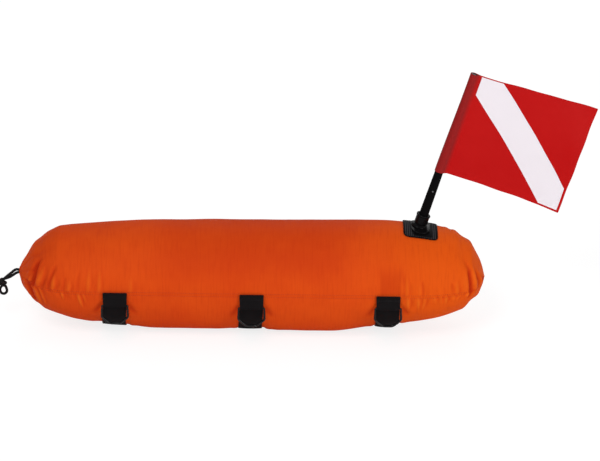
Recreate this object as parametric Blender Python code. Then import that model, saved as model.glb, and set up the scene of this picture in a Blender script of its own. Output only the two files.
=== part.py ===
# Inflatable torpedo float: a sewn cover round an air bladder, with a signal flag on a short mast.
# Metres. +X runs from the nose to the tail, -Y is the front and +Z is up.
# The origin is the middle of the flat that the belly rests on.

import math

import bmesh
import bpy
from mathutils import Matrix, Vector

# Clearances
SEAT_GAP = 0.0003
RUNNING_GAP = 0.0005
LINING_GAP = 0.0008

# Float body
BODY_LENGTH = 0.840
NOSE_X = -BODY_LENGTH / 2
TAIL_X = BODY_LENGTH / 2
TIP_REACH = 0.210
BODY_RADIUS = 0.0975
COVER_THICKNESS = 0.0008
BLADDER_WALL = 0.0006
BLADDER_SIDES = 20
BLADDER_DENT_REACH = 0.055
BLADDER_DENT_DEG = 20.0
BLADDER_NOSE_TIP = 0.0045
BLADDER_TAIL_TIP = 0.0070
REST_CUT = 0.0005
NOSE_FOLDS = 10
NOSE_FOLD_DEPTH = 0.0016
NOSE_FOLD_REACH = 0.110
TAIL_FOLD_DEPTH = 0.0030
TAIL_FOLD_WIDTH = 0.007
TAIL_FOLD_PLACE = 0.030
TAIL_FOLD_DEG = 95.0
BINDING_WIDTH = 0.014
BINDING_THICKNESS = 0.0010

# Distance from the tip, then the height, the belly's depth and the half width as shares of the radius
NOSE_SHAPE = (
    (0.000, 0.074, 0.074, 0.074),
    (0.005, 0.180, 0.240, 0.250),
    (0.011, 0.270, 0.325, 0.375),
    (0.022, 0.462, 0.442, 0.550),
    (0.038, 0.622, 0.590, 0.715),
    (0.054, 0.746, 0.690, 0.820),
    (0.074, 0.840, 0.762, 0.910),
    (0.105, 0.874, 0.858, 0.966),
    (0.139, 0.914, 0.918, 0.979),
    (0.190, 0.958, 0.962, 0.980),
    (0.270, 0.988, 1.000, 0.986),
    (0.345, 0.994, 1.000, 1.000),
    (0.420, 1.000, 1.000, 1.000),
)
TAIL_SHAPE = (
    (0.000, 0.000, 0.000, 0.000),
    (0.004, 0.165, 0.130, 0.250),
    (0.011, 0.325, 0.250, 0.440),
    (0.020, 0.515, 0.352, 0.600),
    (0.033, 0.672, 0.490, 0.740),
    (0.055, 0.838, 0.630, 0.860),
    (0.097, 0.945, 0.766, 0.970),
    (0.138, 0.989, 0.846, 1.002),
    (0.181, 1.022, 0.900, 1.003),
    (0.225, 1.026, 0.950, 1.004),
    (0.290, 1.016, 0.998, 1.006),
    (0.350, 1.008, 1.000, 1.000),
    (0.420, 1.000, 1.000, 1.000),
)

# Webbing straps and their rings
WEBBING_WIDTH = 0.042
STRAP_THICKNESS = 0.0015
STRAP_FROM_TIP = 0.176
STRAP_PLACES = {"nose": NOSE_X + STRAP_FROM_TIP, "mid": 0.0, "tail": TAIL_X - STRAP_FROM_TIP}
KEEPER_THICKNESS = 0.0012
KEEPER_TOP_DEG = 89.0
KEEPER_TAPER_DEG = 95.0
RING_BAR_DEG = 103.0
RING_WIRE_RADIUS = 0.0016
RING_SIDE_GAP = 0.0003
RING_SIDE_LENGTH = 0.0225
RING_DROP = 0.035
RING_FOOT_WIDTH = 0.009

# Ballast in the belly
BALLAST_LENGTH = 0.160
BALLAST_HALF_DEG = 11.0
BALLAST_THICKNESS = 0.0040
BALLAST_PLACE = NOSE_X + 0.305
POCKET_THICKNESS = 0.0008
POCKET_MARGIN = 0.006

# Zip on the rear of the upper panel
ZIP_DEG = -66.0
ZIP_PLACE = 0.025
ZIP_LENGTH = 0.350
ZIP_SLOT_WIDTH = 0.008
ZIP_TAPE_WIDTH = 0.013
ZIP_TAPE_THICKNESS = 0.0008
ZIP_COIL_WIDTH = 0.0022
ZIP_COIL_HEIGHT = 0.0020
ZIP_STOP_LENGTH = 0.006
SLIDER_LENGTH = 0.014
SLIDER_WALL = 0.0010
PULL_LENGTH = 0.026
PULL_WIDTH = 0.008
PULL_THICKNESS = 0.0016
PULL_PIN_RADIUS = 0.0008

# Inflation valve on the rear of the upper panel
VALVE_PLACE = NOSE_X + 0.182
VALVE_DEG = -62.0
VALVE_NECK_RADIUS = 0.0090
VALVE_NECK_WALL = 0.0014
VALVE_NECK_HEIGHT = 0.0062
VALVE_FLANGE_RADIUS = 0.0170
VALVE_FLANGE_THICKNESS = 0.0012
VALVE_COLLAR_RADIUS = 0.0150
VALVE_COLLAR_THICKNESS = 0.0015
VALVE_FLAP_THICKNESS = 0.0008
VALVE_WASHER_THICKNESS = 0.0010
VALVE_CAP_WALL = 0.0018
VALVE_HOLE_DEPTH = 0.012

# Mast, its base and its collar
MAST_PLACE = TAIL_X - 0.120
MAST_LEAN_DEG = 16.9
PATCH_LENGTH = 0.061
PATCH_WIDTH = 0.075
PATCH_THICKNESS = 0.0016
PATCH_PLACE = MAST_PLACE + 0.002
PATCH_CORNER = 0.009
SEAT_SHARE = 0.968
BASE_LENGTH = 0.036
BASE_WIDTH = 0.054
BASE_CORNER = 0.015
BASE_THICKNESS = 0.0028
BASE_FLARE_RADIUS = 0.0158
BASE_FLARE_HEIGHT = 0.0056
SOCKET_WALL = 0.0013
SOCKET_TOP = 0.0182
COLLAR_FOOT = 0.0076
COLLAR_TOP = 0.0248
COLLAR_WALL = 0.0014
COLLAR_LIP = 0.0008
COLLAR_LIP_HEIGHT = 0.0036
GRIP_HEIGHT = 0.0022
MAST_FOOT = 0.0045
MAST_FOOT_RADIUS = 0.0085
MAST_NECK_RADIUS = 0.0076
MAST_JOINT = 0.118
MAST_TUBE_RADIUS = 0.0058
MAST_TUBE_WALL = 0.0013
MAST_TUBE_FOOT = 0.050
MAST_TOP = 0.3035
BUTTON_PLACE = 0.074
BUTTON_RADIUS = 0.0016
BUTTON_RISE = 0.0012
BUTTON_DEPTH = 0.0022
SPRING_LENGTH = 0.024
SPRING_WIDTH = 0.0020
SPRING_THICKNESS = 0.0005
TIP_HEAD_HEIGHT = 0.0016
TIP_PLUG_LENGTH = 0.010

# Flag
FLAG_FOOT = 0.112
FLAG_HOIST = 0.193
FLAG_FLY = 0.241
FLAG_THICKNESS = 0.0008
SLEEVE_WELD = 0.013
FLAG_BOW = 0.0040
STRIPE_THICKNESS = 0.0003
STRIPE_BORDER = 0.003
STRIPE_HOIST_BORDER = 0.0019
STRIPE_FLY_BORDER = 0.005
STRIPE_WIDTH = 0.053

# Tow cord
CORD_RADIUS = 0.00225
CORD_STEP = 0.0027
CORD_PITCH = 0.0052
CORD_TURNS = 1.75
CORD_ENTRY = 0.0145
TOGGLE_RADIUS = 0.0045
TOGGLE_LENGTH = 0.030

# Derived places
AXIS_HEIGHT = BODY_RADIUS + SEAT_GAP + STRAP_THICKNESS - REST_CUT
MAST_LEAN = math.radians(MAST_LEAN_DEG)
MAST_WAY = Vector((math.sin(MAST_LEAN), 0.0, math.cos(MAST_LEAN)))
FLY_WAY = Vector((math.cos(MAST_LEAN), 0.0, -math.sin(MAST_LEAN)))


def clear_scene():
    for thing in list(bpy.data.objects):
        bpy.data.objects.remove(thing, do_unlink=True)


def make_material(name, colour, roughness, metallic=0.0):
    material = bpy.data.materials.new(name)
    material.use_nodes = True
    shader = material.node_tree.nodes["Principled BSDF"]
    shader.inputs["Base Color"].default_value = (*colour, 1.0)
    shader.inputs["Roughness"].default_value = roughness
    shader.inputs["Metallic"].default_value = metallic
    return material


def add_object(name, mesh, material):
    thing = bpy.data.objects.new(name, mesh)
    bpy.context.scene.collection.objects.link(thing)
    mesh.materials.append(material)
    return thing


def finish_mesh(name, bm, material, smooth_deg=35.0):
    bmesh.ops.recalc_face_normals(bm, faces=bm.faces)
    mesh = bpy.data.meshes.new(name)
    bm.to_mesh(mesh)
    bm.free()
    mesh.shade_smooth()
    mesh.set_sharp_from_angle(angle=math.radians(smooth_deg))
    return add_object(name, mesh, material)


def fair(rows, column, at):
    """Smooth reading of one column of an outline, without overshoot between its points."""
    if at <= rows[0][0]:
        return rows[0][column]
    if at >= rows[-1][0]:
        return rows[-1][column]
    slopes = []
    for low, high in zip(rows, rows[1:]):
        slopes.append((high[column] - low[column]) / (high[0] - low[0]))
    tangents = [slopes[0]]
    for before, after in zip(slopes, slopes[1:]):
        if before * after <= 0.0:
            tangents.append(0.0)
        else:
            tangents.append(2.0 * before * after / (before + after))
    tangents.append(0.0)
    index = 0
    while rows[index + 1][0] < at:
        index += 1
    low, high = rows[index], rows[index + 1]
    span = high[0] - low[0]
    t = (at - low[0]) / span
    start = (1 + 2 * t) * (1 - t) ** 2 * low[column]
    start += t * (1 - t) ** 2 * span * tangents[index]
    end = t * t * (3 - 2 * t) * high[column]
    end += t * t * (t - 1) * span * tangents[index + 1]
    return start + end


def section(x):
    """Height, belly depth and half width of the body at one station."""
    sizes = []
    for column in (1, 2, 3):
        nose = fair(NOSE_SHAPE, column, x - NOSE_X)
        tail = fair(TAIL_SHAPE, column, TAIL_X - x)
        sizes.append(BODY_RADIUS * nose * tail)
    return sizes


def on_body(x, degrees, lift=0.0):
    """Point over the cover's outer side. The angle runs from the top towards the front."""
    angle = math.radians(degrees)
    top, belly, side = section(x)
    up = top if math.cos(angle) >= 0.0 else belly
    out = Vector((0.0, -math.sin(angle) / side, math.cos(angle) / up)).normalized()
    point = Vector((x, -side * math.sin(angle), AXIS_HEIGHT + up * math.cos(angle)))
    return point + out * lift


def body_normal(x, degrees):
    step = 0.001
    along = on_body(x + step, degrees) - on_body(x - step, degrees)
    around = on_body(x, degrees + 1.0) - on_body(x, degrees - 1.0)
    return along.cross(around).normalized() * -1.0


def fold_depth(x, degrees):
    """Inward depth of the gathers at the nose and of the fold across the tail."""
    from_nose = x - NOSE_X
    fade = max(0.0, 1.0 - from_nose / NOSE_FOLD_REACH)
    rise = min(1.0, from_nose / 0.020)
    gather = 0.5 - 0.5 * math.cos(math.radians(degrees * NOSE_FOLDS))
    nose = NOSE_FOLD_DEPTH * gather * rise * fade * fade
    aside = (TAIL_X - x - TAIL_FOLD_PLACE) / TAIL_FOLD_WIDTH
    from_top = abs((degrees + 180.0) % 360.0 - 180.0)
    facing = max(0.0, math.cos(math.radians(from_top - TAIL_FOLD_DEG)))
    tail = TAIL_FOLD_DEPTH * math.exp(-aside * aside) * facing ** 4
    return nose + tail


def spaced(low, high, count):
    return [low + (high - low) * i / count for i in range(count + 1)]


def body_stations(nose_x, tail_x):
    """Stations along the body, close together near both tips."""
    shares = [(i / 9) ** 1.8 for i in range(10)]
    nose = [nose_x + TIP_REACH * share for share in shares]
    tail = [tail_x - TIP_REACH * share for share in shares]
    middle = spaced(nose_x + TIP_REACH, tail_x - TIP_REACH, 8)[1:-1]
    return nose + middle + tail[::-1]


def grid_faces(bm, rows, closed=False):
    """Quads between rows of vertices. A row of one vertex closes to a point."""
    for low, high in zip(rows, rows[1:]):
        count = max(len(low), len(high))
        for i in range(count if closed else count - 1):
            j = (i + 1) % count
            ring = [low[i % len(low)], low[j % len(low)], high[j % len(high)], high[i % len(high)]]
            corners = [corner for k, corner in enumerate(ring) if corner is not ring[k - 1]]
            bm.faces.new(corners)


def wall(thing, thickness, offset=-1.0):
    """Gives a sheet its thickness: inwards at -1, outwards at +1."""
    solid = thing.modifiers.new("Wall", "SOLIDIFY")
    solid.thickness = thickness
    solid.offset = offset
    solid.use_even_offset = True
    return thing


def cut(thing, cutter, operation="DIFFERENCE"):
    boolean = thing.modifiers.new("Cut", "BOOLEAN")
    boolean.operation = operation
    boolean.object = cutter
    boolean.solver = "EXACT"
    cutter.hide_render = True
    cutter.display_type = "WIRE"


def way_matrix(centre, way):
    """Frame with its Z along the given way."""
    return Matrix.Translation(centre) @ way.to_track_quat("Z", "Y").to_matrix().to_4x4()


def turned(name, profile, centre, way, material, sides=32):
    """Closed profile of (radius, height) points turned about the given way."""
    bm = bmesh.new()
    rows = []
    for step in range(sides):
        turn = 2.0 * math.pi * step / sides
        ring = []
        for radius, height in profile:
            if radius < 1e-9 and rows:
                ring.append(rows[0][len(ring)])
            else:
                ring.append(bm.verts.new((radius * math.cos(turn), radius * math.sin(turn), height)))
        rows.append(ring)
    count = len(profile)
    for low, high in zip(rows, rows[1:] + rows[:1]):
        for i in range(count):
            j = (i + 1) % count
            ring = [low[i], low[j], high[j], high[i]]
            corners = []
            for corner in ring:
                if corner not in corners:
                    corners.append(corner)
            if len(corners) > 2:
                bm.faces.new(corners)
    thing = finish_mesh(name, bm, material)
    thing.matrix_world = way_matrix(centre, way)
    return thing


def tube_profile(inner, outer, foot, top):
    return [(inner, foot), (outer, foot), (outer, top), (inner, top)]


def rod_profile(radius, foot, top):
    return [(0.0, foot), (radius, foot), (radius, top), (0.0, top)]


def prism(name, outline, low, high, material, place=None):
    """Closed outline of (y, z) points run along X from low to high, or placed by a matrix."""
    bm = bmesh.new()
    near = [bm.verts.new((low, y, z)) for y, z in outline]
    far = [bm.verts.new((high, y, z)) for y, z in outline]
    bm.faces.new(near)
    bm.faces.new(far)
    for i in range(len(outline)):
        j = (i + 1) % len(outline)
        bm.faces.new((near[i], near[j], far[j], far[i]))
    thing = finish_mesh(name, bm, material)
    if place:
        thing.matrix_world = place
    return thing


def strip_sections(name, sections, material):
    """Solid through like outlines, each a closed ring of points, with flat ends."""
    bm = bmesh.new()
    rows = [[bm.verts.new(point) for point in ring] for ring in sections]
    grid_faces(bm, rows, closed=True)
    bm.faces.new(rows[0])
    bm.faces.new(rows[-1])
    return finish_mesh(name, bm, material)


def body_strip(name, xs, rows, material, floor=None, shift=None):
    """Strip over the body, through rows of (angle, low lift, high lift) round the section."""
    rings = []
    places = [(x, shift(x) if shift else 0.0) for x in xs]
    for degrees, low, high in rows:
        near = [on_body(x, degrees + turn, high) for x, turn in places]
        back = [on_body(x, degrees + turn, low) for x, turn in reversed(places)]
        ring = near + back
        if floor is not None:
            for point in ring:
                point.z = max(point.z, floor)
        rings.append(ring)
    return strip_sections(name, rings, material)


def body_pad(name, place, length, width, corner, low, high, material):
    """Pad with round corners, laid over the top of the body."""
    rings = []
    half = width / 2
    steps = [half - corner * (1.0 - math.cos(math.radians(turn))) for turn in (0, 30, 60, 90)]
    asides = steps + spaced(half - corner, corner - half, 8)[1:-1] + [-step for step in reversed(steps)]
    for aside in asides:
        into = max(0.0, abs(aside) - (half - corner))
        reach = length / 2 - corner + math.sqrt(max(0.0, corner * corner - into * into))
        xs = spaced(place - reach, place + reach, 5)
        degrees = math.degrees(aside / BODY_RADIUS)
        near = [on_body(x, degrees, high) for x in xs]
        back = [on_body(x, degrees, low) for x in reversed(xs)]
        rings.append(near + back)
    return strip_sections(name, rings, material)


def cover_panel(name, first_deg, last_deg, material):
    """Half of the cover, from the front seam to the rear one, with the mouth at the nose."""
    bm = bmesh.new()
    lift = SEAT_GAP / 2 * (1.0 if name == "cover_upper_panel" else -1.0)
    rows = []
    for x in body_stations(NOSE_X, TAIL_X)[:-1]:
        row = []
        for degrees in spaced(first_deg, last_deg, 20):
            point = on_body(x, degrees, -fold_depth(x, degrees))
            point.z += lift
            row.append(bm.verts.new(point))
        rows.append(row)
    rows.append([bm.verts.new((TAIL_X, 0.0, AXIS_HEIGHT + lift))])
    grid_faces(bm, rows)
    mesh = bpy.data.meshes.new(name)
    outward = on_body(0.0, (first_deg + last_deg) / 2) - Vector((0.0, 0.0, AXIS_HEIGHT))
    bm.normal_update()
    facing = sum((face.normal.dot(outward) for face in bm.faces), 0.0)
    if facing < 0.0:
        bmesh.ops.reverse_faces(bm, faces=bm.faces)
    bm.to_mesh(mesh)
    bm.free()
    mesh.shade_smooth()
    return wall(add_object(name, mesh, material), COVER_THICKNESS)


def ribbon_outline(line, thickness):
    """Outline of a band of one thickness that follows an open line of (y, z) points."""
    left, right = [], []
    for i, point in enumerate(line):
        before = line[max(0, i - 1)]
        after = line[min(len(line) - 1, i + 1)]
        along = (Vector(after) - Vector(before)).normalized()
        side = Vector((-along.y, along.x)) * (thickness / 2)
        left.append(tuple(Vector(point) + side))
        right.append(tuple(Vector(point) - side))
    return left + right[::-1]


def rounded(corners, steps):
    """Closed outline with each (point, radius) corner turned into an arc."""
    outline = []
    for i, (point, radius) in enumerate(corners):
        here = Vector(point)
        back = (Vector(corners[i - 1][0]) - here).normalized()
        onward = (Vector(corners[(i + 1) % len(corners)][0]) - here).normalized()
        if radius <= 0.0:
            outline.append(here)
            continue
        half = back.angle(onward) / 2
        reach = radius / math.tan(half)
        middle = here + (back + onward).normalized() * (radius / math.sin(half))
        start = here + back * reach - middle
        end = here + onward * reach - middle
        sweep = start.angle(end)
        for step in range(steps + 1):
            t = step / steps
            mix = start * math.sin((1 - t) * sweep) + end * math.sin(t * sweep)
            outline.append(middle + mix / math.sin(sweep))
    return outline


def swept_wire(name, points, radius, material, closed=False, resolution=2):
    curve = bpy.data.curves.new(name, "CURVE")
    curve.dimensions = "3D"
    curve.bevel_depth = radius
    curve.bevel_resolution = resolution
    curve.use_fill_caps = True
    curve.resolution_u = 1
    curve.render_resolution_u = 0
    spline = curve.splines.new("POLY")
    spline.points.add(len(points) - 1)
    for target, point in zip(spline.points, points):
        target.co = (*point, 1.0)
    spline.use_cyclic_u = closed
    spline.use_smooth = True
    curve.materials.append(material)
    wire = bpy.data.objects.new(name, curve)
    bpy.context.scene.collection.objects.link(wire)
    return wire


def build_cover(fabric, binding):
    upper = cover_panel("cover_upper_panel", 90.0, -90.0, fabric)
    cover_panel("cover_lower_panel", 90.0, 270.0, fabric)
    low = -(COVER_THICKNESS + LINING_GAP + BINDING_THICKNESS)
    high = -(COVER_THICKNESS + LINING_GAP)
    half_deg = math.degrees(BINDING_WIDTH / 2 / BODY_RADIUS)
    xs = body_stations(NOSE_X, TAIL_X)[5:-5]
    for name, middle in (("seam_binding_front", 90.0), ("seam_binding_rear", 270.0)):
        rows = [(middle + half_deg * turn, low, high) for turn in (-1, 0, 1)]
        body_strip(name, xs, rows, binding)
    return upper


def build_bladder(vinyl):
    """Air bladder, with its belly drawn in over the ballast."""
    bm = bmesh.new()
    start = NOSE_X + CORD_ENTRY + SEAT_GAP + 2 * TOGGLE_RADIUS + LINING_GAP + BLADDER_NOSE_TIP
    stations = [x for x in body_stations(NOSE_X, TAIL_X)[:-2] if x > start + BLADDER_NOSE_TIP]
    stations.insert(0, start)
    dent = BALLAST_THICKNESS + POCKET_THICKNESS + 4 * SEAT_GAP
    rows = [[bm.verts.new((stations[0] - BLADDER_NOSE_TIP, 0.0, AXIS_HEIGHT))]]
    for x in stations:
        row = []
        for degrees in spaced(0.0, 360.0, BLADDER_SIDES)[:-1]:
            inset = COVER_THICKNESS + LINING_GAP
            if abs(degrees % 180.0 - 90.0) < 9.0:
                inset += BINDING_THICKNESS + 3 * SEAT_GAP
            over_ballast = abs(x - BALLAST_PLACE) < BALLAST_LENGTH / 2 + BLADDER_DENT_REACH
            if over_ballast and abs(degrees - 180.0) < BLADDER_DENT_DEG:
                inset += dent
            point = on_body(x, degrees, -fold_depth(x, degrees))
            row.append(bm.verts.new(point - body_normal(x, degrees) * inset))
        rows.append(row)
    rows.append([bm.verts.new((stations[-1] + BLADDER_TAIL_TIP, 0.0, AXIS_HEIGHT))])
    grid_faces(bm, rows, closed=True)
    bladder = finish_mesh("bladder", bm, vinyl)
    return wall(bladder, BLADDER_WALL)


def build_ballast(metal, fabric):
    high = -(COVER_THICKNESS + LINING_GAP)
    low = high - BALLAST_THICKNESS
    xs = spaced(BALLAST_PLACE - BALLAST_LENGTH / 2, BALLAST_PLACE + BALLAST_LENGTH / 2, 4)
    turns = spaced(180.0 - BALLAST_HALF_DEG, 180.0 + BALLAST_HALF_DEG, 6)
    body_strip("ballast_plate", xs, [(turn, low, high) for turn in turns], metal)
    roof = low - SEAT_GAP
    edge = math.degrees(POCKET_MARGIN / BODY_RADIUS)
    rows = [(turns[0] - edge, high - POCKET_THICKNESS, high)]
    rows += [(turns[0] - edge / 3, high - POCKET_THICKNESS, high)]
    for turn in [turns[0] - edge / 4] + turns[1:-1] + [turns[-1] + edge / 4]:
        rows.append((turn, roof - POCKET_THICKNESS, roof))
    rows += [(turns[-1] + edge / 3, high - POCKET_THICKNESS, high)]
    rows += [(turns[-1] + edge, high - POCKET_THICKNESS, high)]
    body_strip("ballast_pocket", xs, rows, fabric)


def keeper_line(x, side):
    """Line of the webbing loop: down inside the ring's bar, round it and up again."""
    inner_lift = SEAT_GAP + STRAP_THICKNESS + SEAT_GAP + KEEPER_THICKNESS / 2
    outer_lift = inner_lift + KEEPER_THICKNESS + SEAT_GAP
    eye = RING_WIRE_RADIUS + RING_SIDE_GAP + KEEPER_THICKNESS / 2
    centre = on_body(x, side * RING_BAR_DEG, inner_lift + eye)
    out = (centre - on_body(x, side * RING_BAR_DEG)).normalized()
    down = Vector((0.0, -side * out.z, side * out.y))
    line = [on_body(x, side * turn, inner_lift) for turn in spaced(KEEPER_TOP_DEG, RING_BAR_DEG - 1.0, 3)]
    for turn in spaced(0.0, 200.0, 10):
        angle = math.radians(turn)
        line.append(centre + (down * math.sin(angle) - out * math.cos(angle)) * eye)
    line += [on_body(x, side * turn, outer_lift) for turn in (KEEPER_TAPER_DEG, KEEPER_TOP_DEG)]
    return centre, [(point.y, point.z) for point in line]


def build_straps(webbing, plastic):
    """Three belly straps, each with a ring hung in a webbing loop at the front and the rear."""
    outer = SEAT_GAP + STRAP_THICKNESS
    half = WEBBING_WIDTH / 2
    ring_half = half + RING_SIDE_GAP + RING_WIRE_RADIUS
    ring_corners = [
        ((-ring_half, 0.0), RING_WIRE_RADIUS),
        ((ring_half, 0.0), RING_WIRE_RADIUS),
        ((ring_half, -RING_SIDE_LENGTH), 0.006),
        ((RING_FOOT_WIDTH, -RING_DROP), 0.012),
        ((-RING_FOOT_WIDTH, -RING_DROP), 0.012),
        ((-ring_half, -RING_SIDE_LENGTH), 0.006),
    ]
    ring_line = rounded(ring_corners, 4)
    for place, x in STRAP_PLACES.items():
        rows = [(turn, SEAT_GAP, outer) for turn in spaced(KEEPER_TOP_DEG, 360.0 - KEEPER_TOP_DEG, 36)]
        body_strip("belly_strap_" + place, [x - half, x, x + half], rows, webbing, floor=0.0)
        for side_name, side in (("front", 1.0), ("rear", -1.0)):
            centre, line = keeper_line(x, side)
            outline = ribbon_outline(line, KEEPER_THICKNESS)
            prism("ring_keeper_" + place + "_" + side_name, outline, x - half, x + half, webbing)
            points = [(point.x, 0.0, point.y) for point in ring_line]
            ring = swept_wire("d_ring_" + place + "_" + side_name, points, RING_WIRE_RADIUS, plastic, True)
            ring.location = centre


def zip_frame(x, shift=0.0):
    """Frame on the zip's line: its X along the zip, its Y down the body and its Z outwards."""
    point = on_body(x, ZIP_DEG + shift)
    out = (on_body(x, ZIP_DEG + shift, 1.0) - point).normalized()
    along = Vector((1.0, 0.0, 0.0))
    down = out.cross(along)
    turn = Matrix((along, down, out)).transposed().to_4x4()
    return Matrix.Translation(point) @ turn


def slider_middle():
    """Station of the slider at the tail end of its run."""
    return ZIP_PLACE + ZIP_LENGTH / 2 - ZIP_STOP_LENGTH - RUNNING_GAP - SLIDER_LENGTH / 2


def zip_shift(x):
    """Change of angle that keeps the zip straight along a body of varying section."""
    guide = zip_frame(slider_middle()).inverted()
    shift = 0.0
    for _ in range(4):
        shift += math.degrees((guide @ on_body(x, ZIP_DEG + shift)).y / BODY_RADIUS)
    return shift


def zip_rows(low_aside, high_aside, low, high):
    degrees = [math.degrees(aside / BODY_RADIUS) for aside in spaced(low_aside, high_aside, 2)]
    return [(ZIP_DEG - turn, low, high) for turn in degrees]


def build_zip(cover, fabric, plastic, metal):
    """Closed zip over a slot in the cover, with its slider at the tail end."""
    start = ZIP_PLACE - ZIP_LENGTH / 2
    end = ZIP_PLACE + ZIP_LENGTH / 2
    xs = spaced(start, end, 10)
    coil_edge = SEAT_GAP / 2 + ZIP_COIL_WIDTH
    tape_edge = coil_edge + SEAT_GAP
    tape_top = SEAT_GAP + ZIP_TAPE_THICKNESS
    coil_top = SEAT_GAP + ZIP_COIL_HEIGHT
    for name, way in (("upper", -1.0), ("lower", 1.0)):
        rows = zip_rows(way * tape_edge, way * (tape_edge + ZIP_TAPE_WIDTH), SEAT_GAP, tape_top)
        body_strip("zip_tape_" + name, xs, rows, fabric, shift=zip_shift)
        rows = zip_rows(way * SEAT_GAP / 2, way * coil_edge, SEAT_GAP, coil_top)
        inside = spaced(start + ZIP_STOP_LENGTH, end - ZIP_STOP_LENGTH, 10)
        body_strip("zip_coil_" + name, inside, rows, plastic, shift=zip_shift)
    for name, low in (("nose", start), ("tail", end - ZIP_STOP_LENGTH + SEAT_GAP)):
        rows = zip_rows(-coil_edge, coil_edge, SEAT_GAP, coil_top)
        body_strip("zip_stop_" + name, [low, low + ZIP_STOP_LENGTH - SEAT_GAP], rows, metal, shift=zip_shift)
    slot = prism("zip_slot_cutter", slot_outline(), start + ZIP_STOP_LENGTH, end - ZIP_STOP_LENGTH, metal)
    slot.matrix_world = zip_frame(0.0, zip_shift(0.0))
    cut(cover, slot)

    channel = coil_edge + RUNNING_GAP
    outer = channel + 1.7 * SLIDER_WALL
    skirt = tape_top + RUNNING_GAP
    roof = coil_top + RUNNING_GAP
    top = roof + SLIDER_WALL
    outline = [(-outer, skirt), (-channel, skirt), (-channel, roof), (channel, roof)]
    outline += [(channel, skirt), (outer, skirt), (outer, top), (-outer, top)]
    place = zip_frame(slider_middle())
    slider = prism("zip_slider", outline, -SLIDER_LENGTH / 2, SLIDER_LENGTH / 2, metal, place)
    pin = PULL_THICKNESS / 2
    eye = pin + RUNNING_GAP
    bail_half = eye + 2.0 * PULL_PIN_RADIUS
    pin_height = top + eye
    bail = [(-bail_half, top - SEAT_GAP), (-eye, top - SEAT_GAP), (-eye, pin_height + eye)]
    bail += [(eye, pin_height + eye), (eye, top - SEAT_GAP), (bail_half, top - SEAT_GAP)]
    bail += [(bail_half, pin_height + eye + SLIDER_WALL), (-bail_half, pin_height + eye + SLIDER_WALL)]
    quarter = Matrix.Rotation(math.pi / 2, 4, "Z")
    bridge = prism("zip_bail_shape", bail, -SLIDER_WALL, SLIDER_WALL, metal, place @ quarter)
    cut(slider, bridge, "UNION")

    window = bail_half + RUNNING_GAP + SLIDER_WALL
    half = PULL_WIDTH / 2
    gap = SLIDER_WALL + RUNNING_GAP
    pull_frame = place @ Matrix.Translation((0.0, 0.0, pin_height))
    plate = [(-half, -pin), (half, -pin), (half, pin), (-half, pin)]
    pull = prism("zip_pull", plate, -pin, PULL_LENGTH, metal, pull_frame)
    hole = [(-gap, -2 * pin), (gap, -2 * pin), (gap, 2 * pin), (-gap, 2 * pin)]
    opening = prism("zip_pull_window", hole, pin, window, metal, pull_frame)
    cut(pull, opening)


def slot_outline():
    half = ZIP_SLOT_WIDTH / 2
    deep = 6 * COVER_THICKNESS
    return [(-half, -deep), (half, -deep), (half, deep), (-half, deep)]


def build_valve(cover, plastic, rubber):
    """Screw-capped valve: its flange is inside the bladder and its neck comes out of the cover."""
    centre = on_body(VALVE_PLACE, VALVE_DEG)
    way = body_normal(VALVE_PLACE, VALVE_DEG)
    neck = VALVE_NECK_RADIUS
    bore = neck - VALVE_NECK_WALL
    hole = rod_profile(neck + RUNNING_GAP, -VALVE_HOLE_DEPTH, VALVE_HOLE_DEPTH / 2)
    drill = turned("valve_hole_cutter", hole, centre, way, plastic)
    cut(cover, drill)
    cut(bpy.data.objects["bladder"], drill)

    sag = VALVE_FLANGE_RADIUS * math.tan(math.pi / BLADDER_SIDES)
    flange_top = -(COVER_THICKNESS + LINING_GAP + BLADDER_WALL + SEAT_GAP + sag) - 2 * SEAT_GAP
    flange_foot = flange_top - VALVE_FLANGE_THICKNESS
    top = VALVE_NECK_HEIGHT
    flap_top = flange_foot - SEAT_GAP
    body = [(bore, flange_foot), (VALVE_FLANGE_RADIUS, flange_foot), (VALVE_FLANGE_RADIUS, flange_top)]
    body += [(neck, flange_top), (neck, top), (bore, top)]
    turned("valve_body", body, centre, way, plastic)
    flap = rod_profile(bore + VALVE_NECK_WALL, flap_top - VALVE_FLAP_THICKNESS, flap_top)
    turned("valve_flap", flap, centre, way, rubber)
    collar_foot = SEAT_GAP
    collar_top = collar_foot + VALVE_COLLAR_THICKNESS
    collar = tube_profile(neck + SEAT_GAP, VALVE_COLLAR_RADIUS, collar_foot, collar_top)
    turned("valve_collar", collar, centre, way, rubber)
    washer_foot = top + SEAT_GAP
    washer_top = washer_foot + VALVE_WASHER_THICKNESS
    turned("valve_washer", tube_profile(bore, neck, washer_foot, washer_top), centre, way, rubber)
    inner = neck + SEAT_GAP
    outer = inner + VALVE_CAP_WALL
    roof = washer_top + SEAT_GAP
    skirt = collar_top + SEAT_GAP
    cap = [(0.0, roof), (inner, roof), (inner, skirt), (outer, skirt)]
    cap += [(outer, roof + 0.6 * VALVE_CAP_WALL), (outer - 0.4 * VALVE_CAP_WALL, roof + VALVE_CAP_WALL)]
    cap += [(0.0, roof + VALVE_CAP_WALL)]
    turned("valve_cap", cap, centre, way, plastic)


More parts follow.
